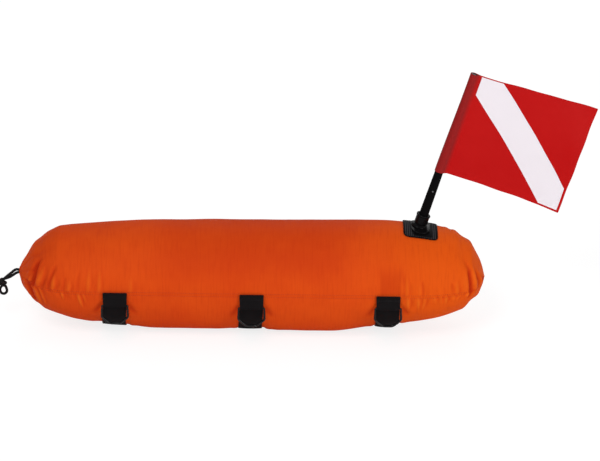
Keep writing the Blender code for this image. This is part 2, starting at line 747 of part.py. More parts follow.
def build_mast(rubber, plastic, tube, metal):
    """Patch, socket, collar and two-part mast, all on one leaning axis."""
    patch_high = SEAT_GAP + PATCH_THICKNESS
    body_pad("mast_patch", PATCH_PLACE, PATCH_LENGTH, PATCH_WIDTH, PATCH_CORNER, SEAT_GAP, patch_high, rubber)
    foot = on_body(MAST_PLACE, 0.0, patch_high)
    up = body_normal(MAST_PLACE, 0.0)
    bore = MAST_FOOT_RADIUS + RUNNING_GAP
    socket = bore + SOCKET_WALL

    plate_low = patch_high + SEAT_GAP
    plate_high = plate_low + BASE_THICKNESS
    base = body_pad("mast_base", MAST_PLACE, BASE_LENGTH, BASE_WIDTH, BASE_CORNER, plate_low, plate_high, plastic)
    stem = [(0.0, -0.001), (BASE_FLARE_RADIUS, -0.001), (BASE_FLARE_RADIUS, BASE_FLARE_HEIGHT - 0.002)]
    stem += [(socket + 0.001, BASE_FLARE_HEIGHT + 0.001), (socket, BASE_FLARE_HEIGHT + 0.0015)]
    stem += [(socket, SOCKET_TOP), (0.0, SOCKET_TOP)]
    stem_shape = turned("mast_stem_shape", stem, foot, MAST_WAY, plastic, 40)
    under = BODY_RADIUS * SEAT_SHARE + plate_low + BASE_THICKNESS / 2
    body_axis = foot + up * (SEAT_GAP + BASE_THICKNESS / 2 - under)
    along = Vector((up.z, 0.0, -up.x))
    seat = turned("mast_seat_cutter", rod_profile(under, -0.05, 0.05), body_axis, along, plastic, 180)
    cut(stem_shape, seat)
    cut(base, stem_shape, "UNION")
    drill = rod_profile(bore, MAST_FOOT - RUNNING_GAP, SOCKET_TOP + 0.01)
    cut(base, turned("mast_bore_cutter", drill, foot, MAST_WAY, plastic, 32))

    inner = socket + SEAT_GAP
    outer = inner + COLLAR_WALL
    lip_foot = SOCKET_TOP + SEAT_GAP + GRIP_HEIGHT + SEAT_GAP
    collar = [(inner, COLLAR_FOOT), (outer, COLLAR_FOOT), (outer, COLLAR_TOP - COLLAR_LIP_HEIGHT)]
    collar += [(outer + COLLAR_LIP, COLLAR_TOP - COLLAR_LIP_HEIGHT + COLLAR_LIP)]
    collar += [(outer + COLLAR_LIP, COLLAR_TOP - 0.0008), (outer + COLLAR_LIP - 0.0008, COLLAR_TOP)]
    collar += [(bore, COLLAR_TOP), (bore, lip_foot), (inner, lip_foot)]
    turned("mast_collar", collar, foot, MAST_WAY, plastic, 32)
    grip_foot = SOCKET_TOP + SEAT_GAP
    grip = tube_profile(MAST_FOOT_RADIUS + SEAT_GAP, socket, grip_foot, grip_foot + GRIP_HEIGHT)
    turned("grip_ring", grip, foot, MAST_WAY, rubber, 32)

    hollow = MAST_TUBE_RADIUS + SEAT_GAP
    lower = [(hollow, MAST_FOOT), (MAST_FOOT_RADIUS, MAST_FOOT), (MAST_FOOT_RADIUS, COLLAR_TOP + 0.002)]
    lower += [(MAST_NECK_RADIUS, FLAG_FOOT), (MAST_NECK_RADIUS, MAST_JOINT), (hollow, MAST_JOINT)]
    mast = turned("mast_lower", lower, foot, MAST_WAY, tube, 24)
    wall_in = MAST_TUBE_RADIUS - MAST_TUBE_WALL
    upper = tube_profile(wall_in, MAST_TUBE_RADIUS, MAST_TUBE_FOOT, MAST_TOP)
    mast_upper = turned("mast_upper", upper, foot, MAST_WAY, tube, 24)

    taper = (BUTTON_PLACE - COLLAR_TOP) / (FLAG_FOOT - COLLAR_TOP)
    skin = MAST_FOOT_RADIUS + (MAST_NECK_RADIUS - MAST_FOOT_RADIUS) * taper
    button_centre = foot + MAST_WAY * BUTTON_PLACE
    front = Vector((0.0, -1.0, 0.0))
    hole = rod_profile(BUTTON_RADIUS + SEAT_GAP, wall_in - 0.002, skin + 0.004)
    drill = turned("button_hole_cutter", hole, button_centre, front, metal, 16)
    cut(mast, drill)
    cut(mast_upper, drill)
    button_foot = wall_in - BUTTON_DEPTH
    button = [(0.0, button_foot), (BUTTON_RADIUS, button_foot), (BUTTON_RADIUS, skin + BUTTON_RISE * 0.4)]
    button += [(BUTTON_RADIUS * 0.6, skin + BUTTON_RISE), (0.0, skin + BUTTON_RISE)]
    turned("snap_button", button, button_centre, front, metal, 16)
    leaf_low = SEAT_GAP - button_foot
    leaf_high = leaf_low + SPRING_THICKNESS
    half = SPRING_WIDTH / 2
    leaf = [(-half, leaf_low), (half, leaf_low), (half, leaf_high), (-half, leaf_high)]
    turn = Matrix((MAST_WAY, Vector((MAST_WAY.z, 0.0, -MAST_WAY.x)), front * -1.0)).transposed().to_4x4()
    spring_frame = Matrix.Translation(button_centre) @ turn
    prism("button_spring", leaf, -SPRING_LENGTH / 2, SPRING_LENGTH / 2, metal, spring_frame)

    head = [(0.0, MAST_TOP - TIP_PLUG_LENGTH), (wall_in - SEAT_GAP, MAST_TOP - TIP_PLUG_LENGTH)]
    head += [(wall_in - SEAT_GAP, MAST_TOP + SEAT_GAP), (MAST_NECK_RADIUS, MAST_TOP + SEAT_GAP)]
    head += [(MAST_NECK_RADIUS, MAST_TOP + SEAT_GAP + TIP_HEAD_HEIGHT * 0.5)]
    head += [(MAST_NECK_RADIUS - 0.0015, MAST_TOP + SEAT_GAP + TIP_HEAD_HEIGHT)]
    head += [(0.0, MAST_TOP + SEAT_GAP + TIP_HEAD_HEIGHT)]
    turned("mast_tip_cap", head, foot, MAST_WAY, plastic, 24)
    return foot


def flag_bow(u):
    """Sideways bow of the stiff sheet, from the weld at the sleeve to the fly."""
    share = max(0.0, (u - SLEEVE_WELD) / (FLAG_FLY - SLEEVE_WELD))
    return FLAG_BOW * math.sin(math.pi * share * 1.15) * share ** 0.5


def build_flag(foot, red, white):
    """Stiff flag whose sleeve turns freely on the mast, with a white stripe welded on each side."""
    frame = Matrix((FLY_WAY, Vector((0.0, 1.0, 0.0)), MAST_WAY)).transposed().to_4x4()
    frame = Matrix.Translation(foot) @ frame
    inner = MAST_NECK_RADIUS + RUNNING_GAP
    outer = inner + FLAG_THICKNESS
    fly_end = FLAG_FLY - outer
    lean = math.acos(outer / SLEEVE_WELD)
    loop = []
    for turn in spaced(lean, 2 * math.pi - lean, 18):
        loop.append((outer * math.cos(turn), outer * math.sin(turn)))
    steps = spaced(SLEEVE_WELD, fly_end, 16)
    half = FLAG_THICKNESS / 2
    near = [(u, flag_bow(u) - half) for u in steps]
    back = [(u, flag_bow(u) + half) for u in steps]
    outline = loop + near + back[::-1]
    bm = bmesh.new()
    rows = []
    for height in (FLAG_FOOT, FLAG_FOOT + FLAG_HOIST):
        rows.append([bm.verts.new((u, y, height)) for u, y in outline])
    grid_faces(bm, rows, closed=True)
    bm.faces.new(rows[0])
    bm.faces.new(rows[1])
    flag = finish_mesh("flag_sheet", bm, red)
    flag.matrix_world = frame
    lean = math.acos(inner / (SLEEVE_WELD - 2 * FLAG_THICKNESS))
    bore = [(inner * math.cos(turn), inner * math.sin(turn)) for turn in spaced(lean, 2 * math.pi - lean, 18)]
    bore.append((SLEEVE_WELD - 2 * FLAG_THICKNESS, 0.0))
    core_frame = frame @ Matrix(((0, 1, 0, 0), (0, 0, 1, 0), (1, 0, 0, 0), (0, 0, 0, 1)))
    core = prism("sleeve_bore_cutter", bore, FLAG_FOOT - 0.01, FLAG_FOOT + FLAG_HOIST + 0.01, red, core_frame)
    cut(flag, core)

    low = FLAG_FOOT + STRIPE_BORDER
    high = FLAG_FOOT + FLAG_HOIST - STRIPE_BORDER
    hoist = SLEEVE_WELD + STRIPE_HOIST_BORDER
    fly = fly_end - STRIPE_FLY_BORDER
    diagonal = math.hypot(fly - hoist, high - low)
    across = STRIPE_WIDTH / 2 * diagonal / (high - low)
    upright = STRIPE_WIDTH / 2 * diagonal / (fly - hoist)
    for name, way in (("front", -1.0), ("rear", 1.0)):
        rings = []
        us = [hoist] + [u for u in steps if hoist + 0.001 < u < fly - 0.001] + [fly]
        us = sorted(set(us + [hoist + across, fly - across]))
        for u in us:
            share = (u - hoist) / (fly - hoist)
            middle = high + (low - high) * share
            bottom = max(low, middle - upright)
            top = min(high, middle + upright)
            face = flag_bow(u) + way * (half + SEAT_GAP)
            skin = face + way * STRIPE_THICKNESS
            rings.append([(u, face, bottom), (u, face, top), (u, skin, top), (u, skin, bottom)])
        stripe = strip_sections("flag_stripe_" + name, rings, white)
        stripe.matrix_world = frame


def cord_route():
    """Route of the doubled tow cord: out of the mouth, down to its knot and eye, and back."""
    bight = CORD_RADIUS + SEAT_GAP
    z = AXIS_HEIGHT
    out = [
        (NOSE_X + CORD_ENTRY, 0.0, z + bight),
        (NOSE_X + 0.007, 0.0, z + bight),
        (NOSE_X, 0.0, z + bight),
        (NOSE_X - 0.008, 0.0, z + bight - 0.0005),
        (NOSE_X - 0.016, 0.0, z - 0.0045),
        (NOSE_X - 0.024, 0.0, z - 0.0115),
        (NOSE_X - 0.0295, 0.0, z - 0.0175),
    ]
    core_way = Vector((-0.30, 0.0, -0.954))
    core_top = Vector(out[-1])
    core_length = CORD_PITCH * (CORD_TURNS + 0.6)
    core_foot = core_top + core_way * core_length
    eye = [
        core_foot,
        core_foot + Vector((-0.0035, 0.0, -0.0075)),
        core_foot + Vector((-0.0015, 0.0, -0.0150)),
        core_foot + Vector((0.0045, 0.0, -0.0165)),
        core_foot + Vector((0.0088, 0.0, -0.0115)),
        core_foot + Vector((0.0075, 0.0, -0.0040)),
    ]
    side = Vector((-core_way.z, 0.0, core_way.x))
    depth = core_way.cross(side)
    wrap = 2 * CORD_RADIUS + 0.0008
    turns = []
    count = round(CORD_TURNS * 9)
    for step in range(count + 1):
        share = step / count
        angle = 2 * math.pi * CORD_TURNS * share
        along = core_length - CORD_PITCH * (0.3 + CORD_TURNS * share)
        swing = side * math.cos(angle) + depth * math.sin(angle)
        turns.append(core_top + core_way * along + swing * wrap)
    back = [
        (NOSE_X - 0.0195, 0.0048, z - 0.0150),
        (NOSE_X - 0.012, 0.0010, z - 0.0085),
        (NOSE_X - 0.006, 0.0, z - 0.0040),
        (NOSE_X, 0.0, z - bight),
        (NOSE_X + 0.007, 0.0, z - bight),
        (NOSE_X + CORD_ENTRY, 0.0, z - bight),
    ]
    return [Vector(point) for point in out] + eye + turns + [Vector(point) for point in back]


def smooth_route(points, step):
    """Evenly spaced points on a smooth curve through the route's own points."""
    fine = []
    padded = [points[0] * 2 - points[1]] + points + [points[-1] * 2 - points[-2]]
    for a, b, c, d in zip(padded, padded[1:], padded[2:], padded[3:]):
        for i in range(16):
            t = i / 16
            point = b * 2 + (c - a) * t + (a * 2 - b * 5 + c * 4 - d) * t * t
            fine.append((point + (b * 3 - a - c * 3 + d) * t ** 3) / 2)
    fine.append(points[-1])
    lengths = [0.0]
    for low, high in zip(fine, fine[1:]):
        lengths.append(lengths[-1] + (high - low).length)
    count = round(lengths[-1] / step)
    even = []
    index = 0
    for i in range(count + 1):
        target = lengths[-1] * i / count
        while index < len(fine) - 2 and lengths[index + 1] < target:
            index += 1
        span = lengths[index + 1] - lengths[index]
        even.append(fine[index].lerp(fine[index + 1], (target - lengths[index]) / span))
    return even, lengths[-1]


def least_gap(points, radius):
    """Least clear distance between stretches of the cord that aren't neighbours."""
    least = 1.0
    skip = math.ceil(6 * radius / CORD_STEP) + 1
    for i, here in enumerate(points):
        for there in points[i + skip:]:
            least = min(least, (here - there).length - 2 * radius)
    return least


def build_cord(cordage, plastic):
    points, length = smooth_route(cord_route(), CORD_STEP)
    swept_wire("tow_cord", points, CORD_RADIUS, cordage)
    print("tow cord length", round(length, 4), "least gap to itself", round(least_gap(points, CORD_RADIUS), 5))
    face = NOSE_X + CORD_ENTRY + SEAT_GAP
    toggle = rod_profile(TOGGLE_RADIUS, -TOGGLE_LENGTH / 2, TOGGLE_LENGTH / 2)
    centre = Vector((face + TOGGLE_RADIUS, 0.0, AXIS_HEIGHT))
    turned("nose_toggle", toggle, centre, Vector((0.0, 1.0, 0.0)), plastic, 16)


def build_float():
    clear_scene()
    fabric = make_material("orange_nylon", (0.82, 0.10, 0.012), 0.45)
    binding = make_material("binding_tape", (0.75, 0.09, 0.012), 0.60)
    vinyl = make_material("bladder_vinyl", (0.55, 0.57, 0.60), 0.35)
    webbing = make_material("black_webbing", (0.018, 0.014, 0.016), 0.75)
    plastic = make_material("black_plastic", (0.012, 0.011, 0.012), 0.35)
    rubber = make_material("dark_rubber", (0.030, 0.030, 0.033), 0.65)
    tube = make_material("mast_tube", (0.012, 0.011, 0.012), 0.40)
    metal = make_material("plated_metal", (0.60, 0.60, 0.62), 0.30, 1.0)
    lead = make_material("ballast_metal", (0.25, 0.25, 0.27), 0.60, 1.0)
    red = make_material("flag_red", (0.52, 0.010, 0.010), 0.35)
    white = make_material("flag_white", (0.88, 0.82, 0.87), 0.40)
    cordage = make_material("black_cord", (0.012, 0.011, 0.012), 0.70)

    cover = build_cover(fabric, binding)
    build_bladder(vinyl)
    build_ballast(lead, fabric)
    build_straps(webbing, plastic)
    build_zip(cover, webbing, plastic, metal)
    build_valve(cover, plastic, rubber)
    foot = build_mast(rubber, plastic, tube, metal)
    build_flag(foot, red, white)
    build_cord(cordage, plastic)


build_float()
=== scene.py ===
# Dive float with its straps, rings, mast and flag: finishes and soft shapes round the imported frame
import math
import random
from bisect import bisect_left

import bmesh
import bpy
from mathutils import Matrix, Vector, noise


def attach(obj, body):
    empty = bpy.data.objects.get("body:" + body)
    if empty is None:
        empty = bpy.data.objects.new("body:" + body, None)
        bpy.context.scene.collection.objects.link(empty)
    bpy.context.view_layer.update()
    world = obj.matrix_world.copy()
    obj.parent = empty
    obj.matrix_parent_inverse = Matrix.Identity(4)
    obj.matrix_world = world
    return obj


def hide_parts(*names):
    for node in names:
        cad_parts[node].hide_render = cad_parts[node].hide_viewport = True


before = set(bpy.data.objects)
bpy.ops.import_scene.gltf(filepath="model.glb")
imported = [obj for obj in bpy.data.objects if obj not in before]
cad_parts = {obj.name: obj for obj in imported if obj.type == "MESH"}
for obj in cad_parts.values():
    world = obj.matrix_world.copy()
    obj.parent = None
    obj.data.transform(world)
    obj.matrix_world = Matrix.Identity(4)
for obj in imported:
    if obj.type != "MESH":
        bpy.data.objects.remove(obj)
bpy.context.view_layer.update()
print("frame loaded,", len(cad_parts), "nodes")


# shader helpers

class Wire:  # a node's output that takes plain maths
    def __init__(self, paint, socket):
        self.paint = paint
        self.socket = socket

    def maths(self, operation, *values, clamp=False):
        settings = {"operation": operation, "use_clamp": clamp}
        return self.paint.add("ShaderNodeMath", settings, dict(enumerate(values)))

    def __add__(self, other):
        return self.maths("ADD", self, other)

    def __radd__(self, other):
        return self.maths("ADD", other, self)

    def __sub__(self, other):
        return self.maths("SUBTRACT", self, other)

    def __rsub__(self, other):
        return self.maths("SUBTRACT", other, self)

    def __mul__(self, other):
        return self.maths("MULTIPLY", self, other)

    def __rmul__(self, other):
        return self.maths("MULTIPLY", other, self)

    def __truediv__(self, other):
        return self.maths("DIVIDE", self, other)

    def __neg__(self):
        return self.maths("MULTIPLY", self, -1.0)

    def wave(self, pitch=1.0):  # a sine that repeats every pitch
        return self.maths("SINE", self * (math.tau / pitch))

    def swell(self, pitch=1.0):  # the same between 0 and 1
        return self.wave(pitch) * 0.5 + 0.5

    def swing(self, span):  # noise about its middle
        return (self - 0.5) * span

    def size(self):
        return self.maths("ABSOLUTE", self)

    def power(self, exponent):
        return self.maths("POWER", self, exponent)

    def held(self):  # kept between 0 and 1
        return self.maths("ADD", self, 0.0, clamp=True)

    def eased(self, low, high):  # 0 below low, 1 above high, smooth between
        settings = {"interpolation_type": "SMOOTHSTEP", "clamp": True}
        values = {"Value": self, "From Min": low, "From Max": high}
        return self.paint.add("ShaderNodeMapRange", settings, values)


class Paint:  # one material and its nodes
    def __init__(self, name, **constants):
        self.material = bpy.data.materials.new(name)
        self.material.use_nodes = True
        self.tree = self.material.node_tree
        self.shader = self.tree.nodes["Principled BSDF"]
        for socket, value in constants.items():
            self.shader.inputs[socket.replace("_", " ")].default_value = value

    def feed(self, target, value):
        if isinstance(value, Wire):
            self.tree.links.new(value.socket, target)
        elif isinstance(value, tuple) and target.type == "RGBA":
            target.default_value = (*value, 1.0)
        else:
            target.default_value = value

    def add(self, kind, settings, values, out=0):
        node = self.tree.nodes.new(kind)
        for key, value in settings.items():
            setattr(node, key, value)
        for key, value in values.items():
            self.feed(node.inputs[key], value)
        return Wire(self, node.outputs[out])

    def place(self, source="Object", scale=(1.0, 1.0, 1.0)):
        coords = self.add("ShaderNodeTexCoord", {}, {}, source)
        return self.add("ShaderNodeMapping", {}, {"Vector": coords, "Scale": scale})

    def axes(self, source="Object"):
        split = self.add("ShaderNodeSeparateXYZ", {}, {0: self.place(source)})
        return [Wire(self, output) for output in split.socket.node.outputs]

    def cloud(self, scale, detail=3.0, rough=0.5, vector=None):
        values = {"Vector": vector or self.place(), "Scale": scale, "Detail": detail, "Roughness": rough}
        return self.add("ShaderNodeTexNoise", {}, values)

    def mark(self, name):  # a number kept on each of the piece's points
        return self.add("ShaderNodeAttribute", {"attribute_name": name}, {}, "Fac")

    def mix(self, share, low, high):
        return self.add("ShaderNodeMix", {"data_type": "RGBA"}, {0: share, 6: low, 7: high}, 2)

    def finish(self, colour, rough, height, depth, strength):
        normal = self.add("ShaderNodeBump", {}, {"Height": height, "Distance": depth, "Strength": strength})
        for socket, value in (("Base Color", colour), ("Roughness", rough), ("Normal", normal)):
            self.feed(self.shader.inputs[socket], value)
        return self.material


# finishes

# cloth: thread and stitch pitch, a painted light tone towards the tail, a tint for painted highlights on
# raised folds, the stitches' fade from the seam, where the painted light starts, and where a painted shade
# band lies high along the middle
nylon = {
    "thread": 0.00075, "stitch": 0.0043, "warm": (0.80, 0.110, 0.006), "glow": (1.12, 1.85, 1.5),
    "seamFade": (0.0006, 0.0046), "paintedLightFrom": (0.16, 0.34), "paintedShadeHigh": (0.105, 0.165),
    "paintedShadeWide": (0.08, 0.24),
}


def nylonCloth(name, deep, base, light, seamArc=0.0):  # painted shade in its creases and painted highlights on its raised folds; with a seam, also painted light towards the tail and a painted shade band high along the middle; pricked along its seams
    paint = Paint(name, Specular_IOR_Level=0.015)
    across, along, _ = paint.axes("UV")
    weave = across.wave(nylon["thread"]) * along.wave(nylon["thread"]) * 0.5 + 0.5
    close = paint.cloud(60.0, 4.0)
    paintedShadeAndHighlight = paint.mark("paintedShadeAndHighlight")
    tone = paint.cloud(9.0, 2.0).swing(0.9) + close.swing(0.25) + 0.5
    colour = paint.mix(tone.eased(0.2, 0.8), base, light)
    if seamArc:
        x, _, z = paint.axes()
        # painted light: the cloth is painted brighter towards the tail
        colour = paint.mix(x.eased(*nylon["paintedLightFrom"]) * 0.66, colour, nylon["warm"])
        # painted shade: a darker band high along the middle of the body
        middle = z.eased(*nylon["paintedShadeHigh"]) * (1.0 - x.size().eased(*nylon["paintedShadeWide"]))
        colour = paint.mix(middle * 0.30, colour, deep)
        streak = paint.cloud(330.0, 4.0, vector=paint.place("UV", (1.0, 0.07, 1.0)))
        colour = paint.mix(streak.eased(0.42, 0.80) * 0.22, colour, deep)
    # painted shade where the relief marks a crease, fold, gather or groove, then a painted highlight where it
    # marks a raised ridge
    colour = paint.mix((paintedShadeAndHighlight * 0.85).held(), colour, deep)
    colour = paint.mix((-paintedShadeAndHighlight).held() * 0.8, colour, tuple(a * b for a, b in zip(light, nylon["glow"])))
    colour = paint.mix((1.0 - weave) * 0.08, colour, deep)
    height = weave * 0.6 + close * 0.8
    if seamArc:
        front, rear = (along.size() - seamArc).size(), (along - 3.0 * seamArc).size()
        aside = front.maths("MINIMUM", front, rear)
        prick = across.swell(nylon["stitch"]).power(2.0)
        tick = prick * (1.0 - aside.eased(*nylon["seamFade"])) * (close * 1.2).held()
        colour = paint.mix((tick * 0.26).held(), colour, deep)
        height = height - tick * 3.0
    return paint.finish(colour, 0.50 + close.swing(0.12) + weave * 0.04, height, 0.00012, 0.55)


def twillWebbing(name, dark, light, rib=0.0036, soft=0.010):  # herringbone ribs along a strap
    paint = Paint(name, Specular_IOR_Level=0.08)
    across, along, _ = paint.axes("UV")
    zigzag = (across.maths("FRACT", across / soft) - 0.5).size() * 2.0
    ribs = (along / rib + zigzag * 1.4).swell()
    yarn = across.swell(0.0011) * ribs
    fuzz = paint.cloud(900.0)
    colour = paint.mix((yarn * 0.7 + paint.cloud(45.0).swing(0.6)).held(), dark, light)
    return paint.finish(colour, 0.72 + fuzz.swing(0.2), ribs * 0.5 + yarn * 0.5 + fuzz * 0.35, 0.00035, 0.8)


def mouldedPlastic(name, base, worn, gloss, grain, depth, specular):
    paint = Paint(name, Specular_IOR_Level=specular)
    fine = paint.cloud(grain, 2.0)
    broad = paint.cloud(70.0, 4.0)
    colour = paint.mix(broad.eased(0.55, 0.85) * 0.6, base, worn)
    return paint.finish(colour, gloss + broad.swing(0.16) + fine.swing(0.06), fine, depth, 0.6)


def ribbedRubber(name, base, light, pitch):  # ribs run front to back, and stop at the bead
    paint = Paint(name, Specular_IOR_Level=0.02)
    inside = paint.mark("inside")
    ribs = paint.axes()[0].swell(pitch).power(1.4) * inside
    dust = paint.cloud(240.0, 4.0)
    colour = paint.mix((ribs * 0.8 + dust.swing(0.5)).held() * inside, base, light)
    return paint.finish(colour, 0.42 + inside * 0.16 + dust.swing(0.15), ribs + dust * 0.12, 0.0006, 0.7)


def softRubber(name, base, light, gloss=0.55):
    paint = Paint(name, Specular_IOR_Level=0.35)
    dust = paint.cloud(180.0, 4.0)
    colour = paint.mix(dust.eased(0.45, 0.9) * 0.7, base, light)
    return paint.finish(colour, gloss + dust.swing(0.2), paint.cloud(1800.0, 2.0), 0.00004, 0.5)


def platedMetal(name, base, dull):
    paint = Paint(name, Metallic=1.0)
    scratch = paint.cloud(320.0, vector=paint.place(scale=(1.0, 1.0, 14.0)))
    stain = paint.cloud(55.0).eased(0.5, 0.9)
    rough = 0.24 + stain * 0.2 + scratch.swing(0.12)
    return paint.finish(paint.mix(stain, base, dull), rough, scratch, 0.00003, 0.35)


def coatedSheet(name, base, light, sleeve=None):  # stiff coated cloth, with its base weave just showing
    paint = Paint(name, Specular_IOR_Level=0.07)
    across, along, _ = paint.axes("UV")
    thread = 0.0012
    grid = across.wave(thread) * along.wave(thread) * 0.5 + 0.5
    haze = paint.cloud(14.0)
    fine = paint.cloud(420.0)
    colour = paint.mix((haze - 0.35).held() * 0.9, base, light)
    # painted shade: the sleeve round the mast is painted darker
    if sleeve:
        colour = paint.mix(paint.mark("sleeve"), colour, sleeve)
    rough = 0.36 + haze.swing(0.14) + fine.swing(0.08)
    return paint.finish(colour, rough, grid * 0.5 + fine * 0.5 + haze * 3.0, 0.00010, 0.5)


def braidedCord(name, dark, light, plait):  # strands cross both ways round the cord
    paint = Paint(name, Specular_IOR_Level=0.15)
    along, around, _ = paint.axes("UV")
    left, right = (along / plait + around * 4.0).wave(), (along / plait - around * 4.0).wave()
    strands = left.maths("MAXIMUM", left, right) * 0.5 + 0.5
    fuzz = paint.cloud(1400.0, 2.0)
    colour = paint.mix((strands * 0.8 + fuzz.swing(0.4)).held(), dark, light)
    return paint.finish(colour, 0.66 + fuzz.swing(0.2), strands + fuzz * 0.3, 0.0004, 0.9)


def bladderFilm(name, base, light):
    paint = Paint(name, Specular_IOR_Level=0.5)
    haze = paint.cloud(20.0)
    return paint.finish(paint.mix(haze.eased(0.3, 0.7), base, light), 0.28 + haze * 0.2, haze, 0.0004, 0.5)


def castLead(name, base, light):
    paint = Paint(name, Metallic=0.9)
    pits = paint.cloud(260.0, 5.0, 0.65)
    return paint.finish(paint.mix(pits, base, light), 0.5 + pits * 0.25, pits, 0.0002, 0.8)


quarterGirth = 0.0975 * math.pi / 2
black, blackWorn = (0.0045, 0.0040, 0.0045), (0.0080, 0.0070, 0.0080)
finishes = {
    "cover": nylonCloth(
        "orangeNylon", (0.47, 0.022, 0.004), (0.66, 0.060, 0.007), (0.74, 0.082, 0.008), quarterGirth),
    "binding": nylonCloth("orangeTape", (0.42, 0.025, 0.004), (0.60, 0.058, 0.008), (0.66, 0.070, 0.009)),
    "webbing": twillWebbing("blackWebbing", (0.0040, 0.0032, 0.0036), (0.0140, 0.0110, 0.0125)),
    "zipTape": twillWebbing("zipTapeCloth", (0.004, 0.004, 0.005), (0.016, 0.015, 0.017), 0.0018, 0.0065),
    "thread": softRubber("orangeThread", (0.34, 0.022, 0.006), (0.55, 0.045, 0.008), 0.6),
    "blackThread": softRubber("blackThread", (0.008, 0.007, 0.008), (0.03, 0.028, 0.03), 0.6),
    "plastic": mouldedPlastic(
        "blackPlastic", (0.006, 0.0055, 0.006), (0.012, 0.011, 0.012), 0.32, 1500.0, 0.00004, 0.4),
    "glossPlastic": mouldedPlastic("glossBlackPlastic", black, blackWorn, 0.14, 700.0, 0.00002, 0.07),
    "mast": mouldedPlastic(
        "mastTube", (0.0040, 0.0034, 0.0038), (0.0065, 0.0055, 0.0062), 0.60, 2200.0, 0.00003, 0.02),
    "ring": mouldedPlastic("ringPlastic", black, (0.0080, 0.0072, 0.0080), 0.10, 1500.0, 0.00003, 0.26),
    "patch": ribbedRubber("ribbedRubber", (0.0045, 0.0042, 0.0048), (0.064, 0.060, 0.066), 0.0033),
    "rubber": softRubber("blackRubber", (0.010, 0.010, 0.011), (0.024, 0.023, 0.025)),
    "metal": platedMetal("platedMetal", (0.62, 0.62, 0.63), (0.40, 0.39, 0.38)),
    "buttonMetal": platedMetal("buttonMetal", (0.20, 0.20, 0.205), (0.13, 0.13, 0.13)),
    # the third red is the painted shade on the sleeve round the mast
    "flag": coatedSheet("flagRed", (0.47, 0.0040, 0.0040), (0.53, 0.0080, 0.0070), (0.285, 0.012, 0.012)),
    "stripe": coatedSheet("flagWhite", (0.82, 0.765, 0.81), (0.88, 0.825, 0.87)),
    "cord": braidedCord("blackCord", (0.004, 0.004, 0.004), (0.018, 0.017, 0.018), 0.0034),
    "bladder": bladderFilm("bladderFilm", (0.50, 0.52, 0.55), (0.62, 0.64, 0.66)),
    "lead": castLead("castBallast", (0.20, 0.20, 0.21), (0.32, 0.32, 0.33)),
}
print("finishes made:", len(finishes))


# camera, floor and light

view = {
    "pan": 0.44, "tilt": 23.5, "roll": 0.82, "distance": 6.0, "target": (0.08535, 0.0, 0.18423),
    "focal": 3335.0, "wide": 600.0, "sensor": 36.0,  # focal length and width in the picture's own points
}
floorTones = {"lit": (0.92, 0.92, 0.92), "seen": (0.30, 0.30, 0.30), "glow": (0.80, 0.80, 0.80), "room": 0.44}


def addObject(name, data):
    item = bpy.data.objects.new(name, data)
    bpy.context.scene.collection.objects.link(item)
    return item


def setCamera():
    pan, tilt, roll = (math.radians(view[key]) for key in ("pan", "tilt", "roll"))
    forward = Vector((math.sin(pan) * math.cos(tilt), math.cos(pan) * math.cos(tilt), -math.sin(tilt)))
    right = Vector((math.cos(pan), -math.sin(pan), 0.0))
    up = right.cross(forward)
    right, up = right * math.cos(roll) + up * math.sin(roll), up * math.cos(roll) - right * math.sin(roll)
    data = bpy.data.cameras.new("camera")
    data.sensor_width = view["sensor"]
    data.lens = view["focal"] * view["sensor"] / view["wide"]
    data.clip_end = 60.0
    camera = addObject("camera", data)
    spot = Vector(view["target"]) - forward * view["distance"]
    camera.matrix_world = Matrix.Translation(spot) @ Matrix((right, up, -forward)).transposed().to_4x4()
    bpy.context.scene.camera = camera


def paleFloor():
    paint = Paint("paleFloor", Roughness=0.9, Specular_IOR_Level=0.0, Emission_Strength=1.0)
    seenRay = paint.add("ShaderNodeLightPath", {}, {}, "Is Camera Ray")
    for socket, lit, seen in (("Base Color", floorTones["lit"], floorTones["seen"]),
                              ("Emission Color", (0.0, 0.0, 0.0), floorTones["glow"])):
        paint.feed(paint.shader.inputs[socket], paint.mix(seenRay, lit, seen))
    bm = bmesh.new()
    bmesh.ops.create_grid(bm, x_segments=2, y_segments=2, size=9.0)
    mesh = bpy.data.meshes.new("floor")
    bm.to_mesh(mesh)
    bm.free()
    mesh.materials.append(paint.material)
    addObject("floor", mesh)


def paleRoom():  # a white room, brighter to the eye than as a light
    world = bpy.data.worlds.new("paleRoom")
    bpy.context.scene.world = world
    world.use_nodes = True
    nodes, links = world.node_tree.nodes, world.node_tree.links
    light, seen = nodes["Background"], nodes.new("ShaderNodeBackground")
    for tone in (light, seen):
        tone.inputs["Color"].default_value = (1.0, 1.0, 1.0, 1.0)
    light.inputs["Strength"].default_value = floorTones["room"]
    pick = nodes.new("ShaderNodeMixShader")
    links.new(nodes.new("ShaderNodeLightPath").outputs["Is Camera Ray"], pick.inputs[0])
    links.new(light.outputs[0], pick.inputs[1])
    links.new(seen.outputs[0], pick.inputs[2])
    links.new(pick.outputs[0], nodes["World Output"].inputs["Surface"])


def softLamp(name, spot, target, size, power):
    data = bpy.data.lights.new(name, "AREA")
    data.shape = "DISK"
    data.size = size
    data.energy = power
    aim = (Vector(target) - Vector(spot)).to_track_quat("-Z", "Y")
    addObject(name, data).matrix_world = Matrix.Translation(spot) @ aim.to_matrix().to_4x4()


setCamera()
paleFloor()
paleRoom()
softLamp("key", (-0.9, -2.2, 2.6), (0.0, 0.0, 0.1), 1.5, 36.0)
softLamp("fill", (1.9, -2.4, 0.9), (0.20, 0.0, 0.10), 2.0, 30.0)
softLamp("rear", (0.4, 2.4, 1.9), (0.0, 0.0, 0.15), 2.0, 15.0)
bpy.context.scene.view_settings.view_transform = "Standard"
print("camera, floor and lamps placed")


# shape of the float

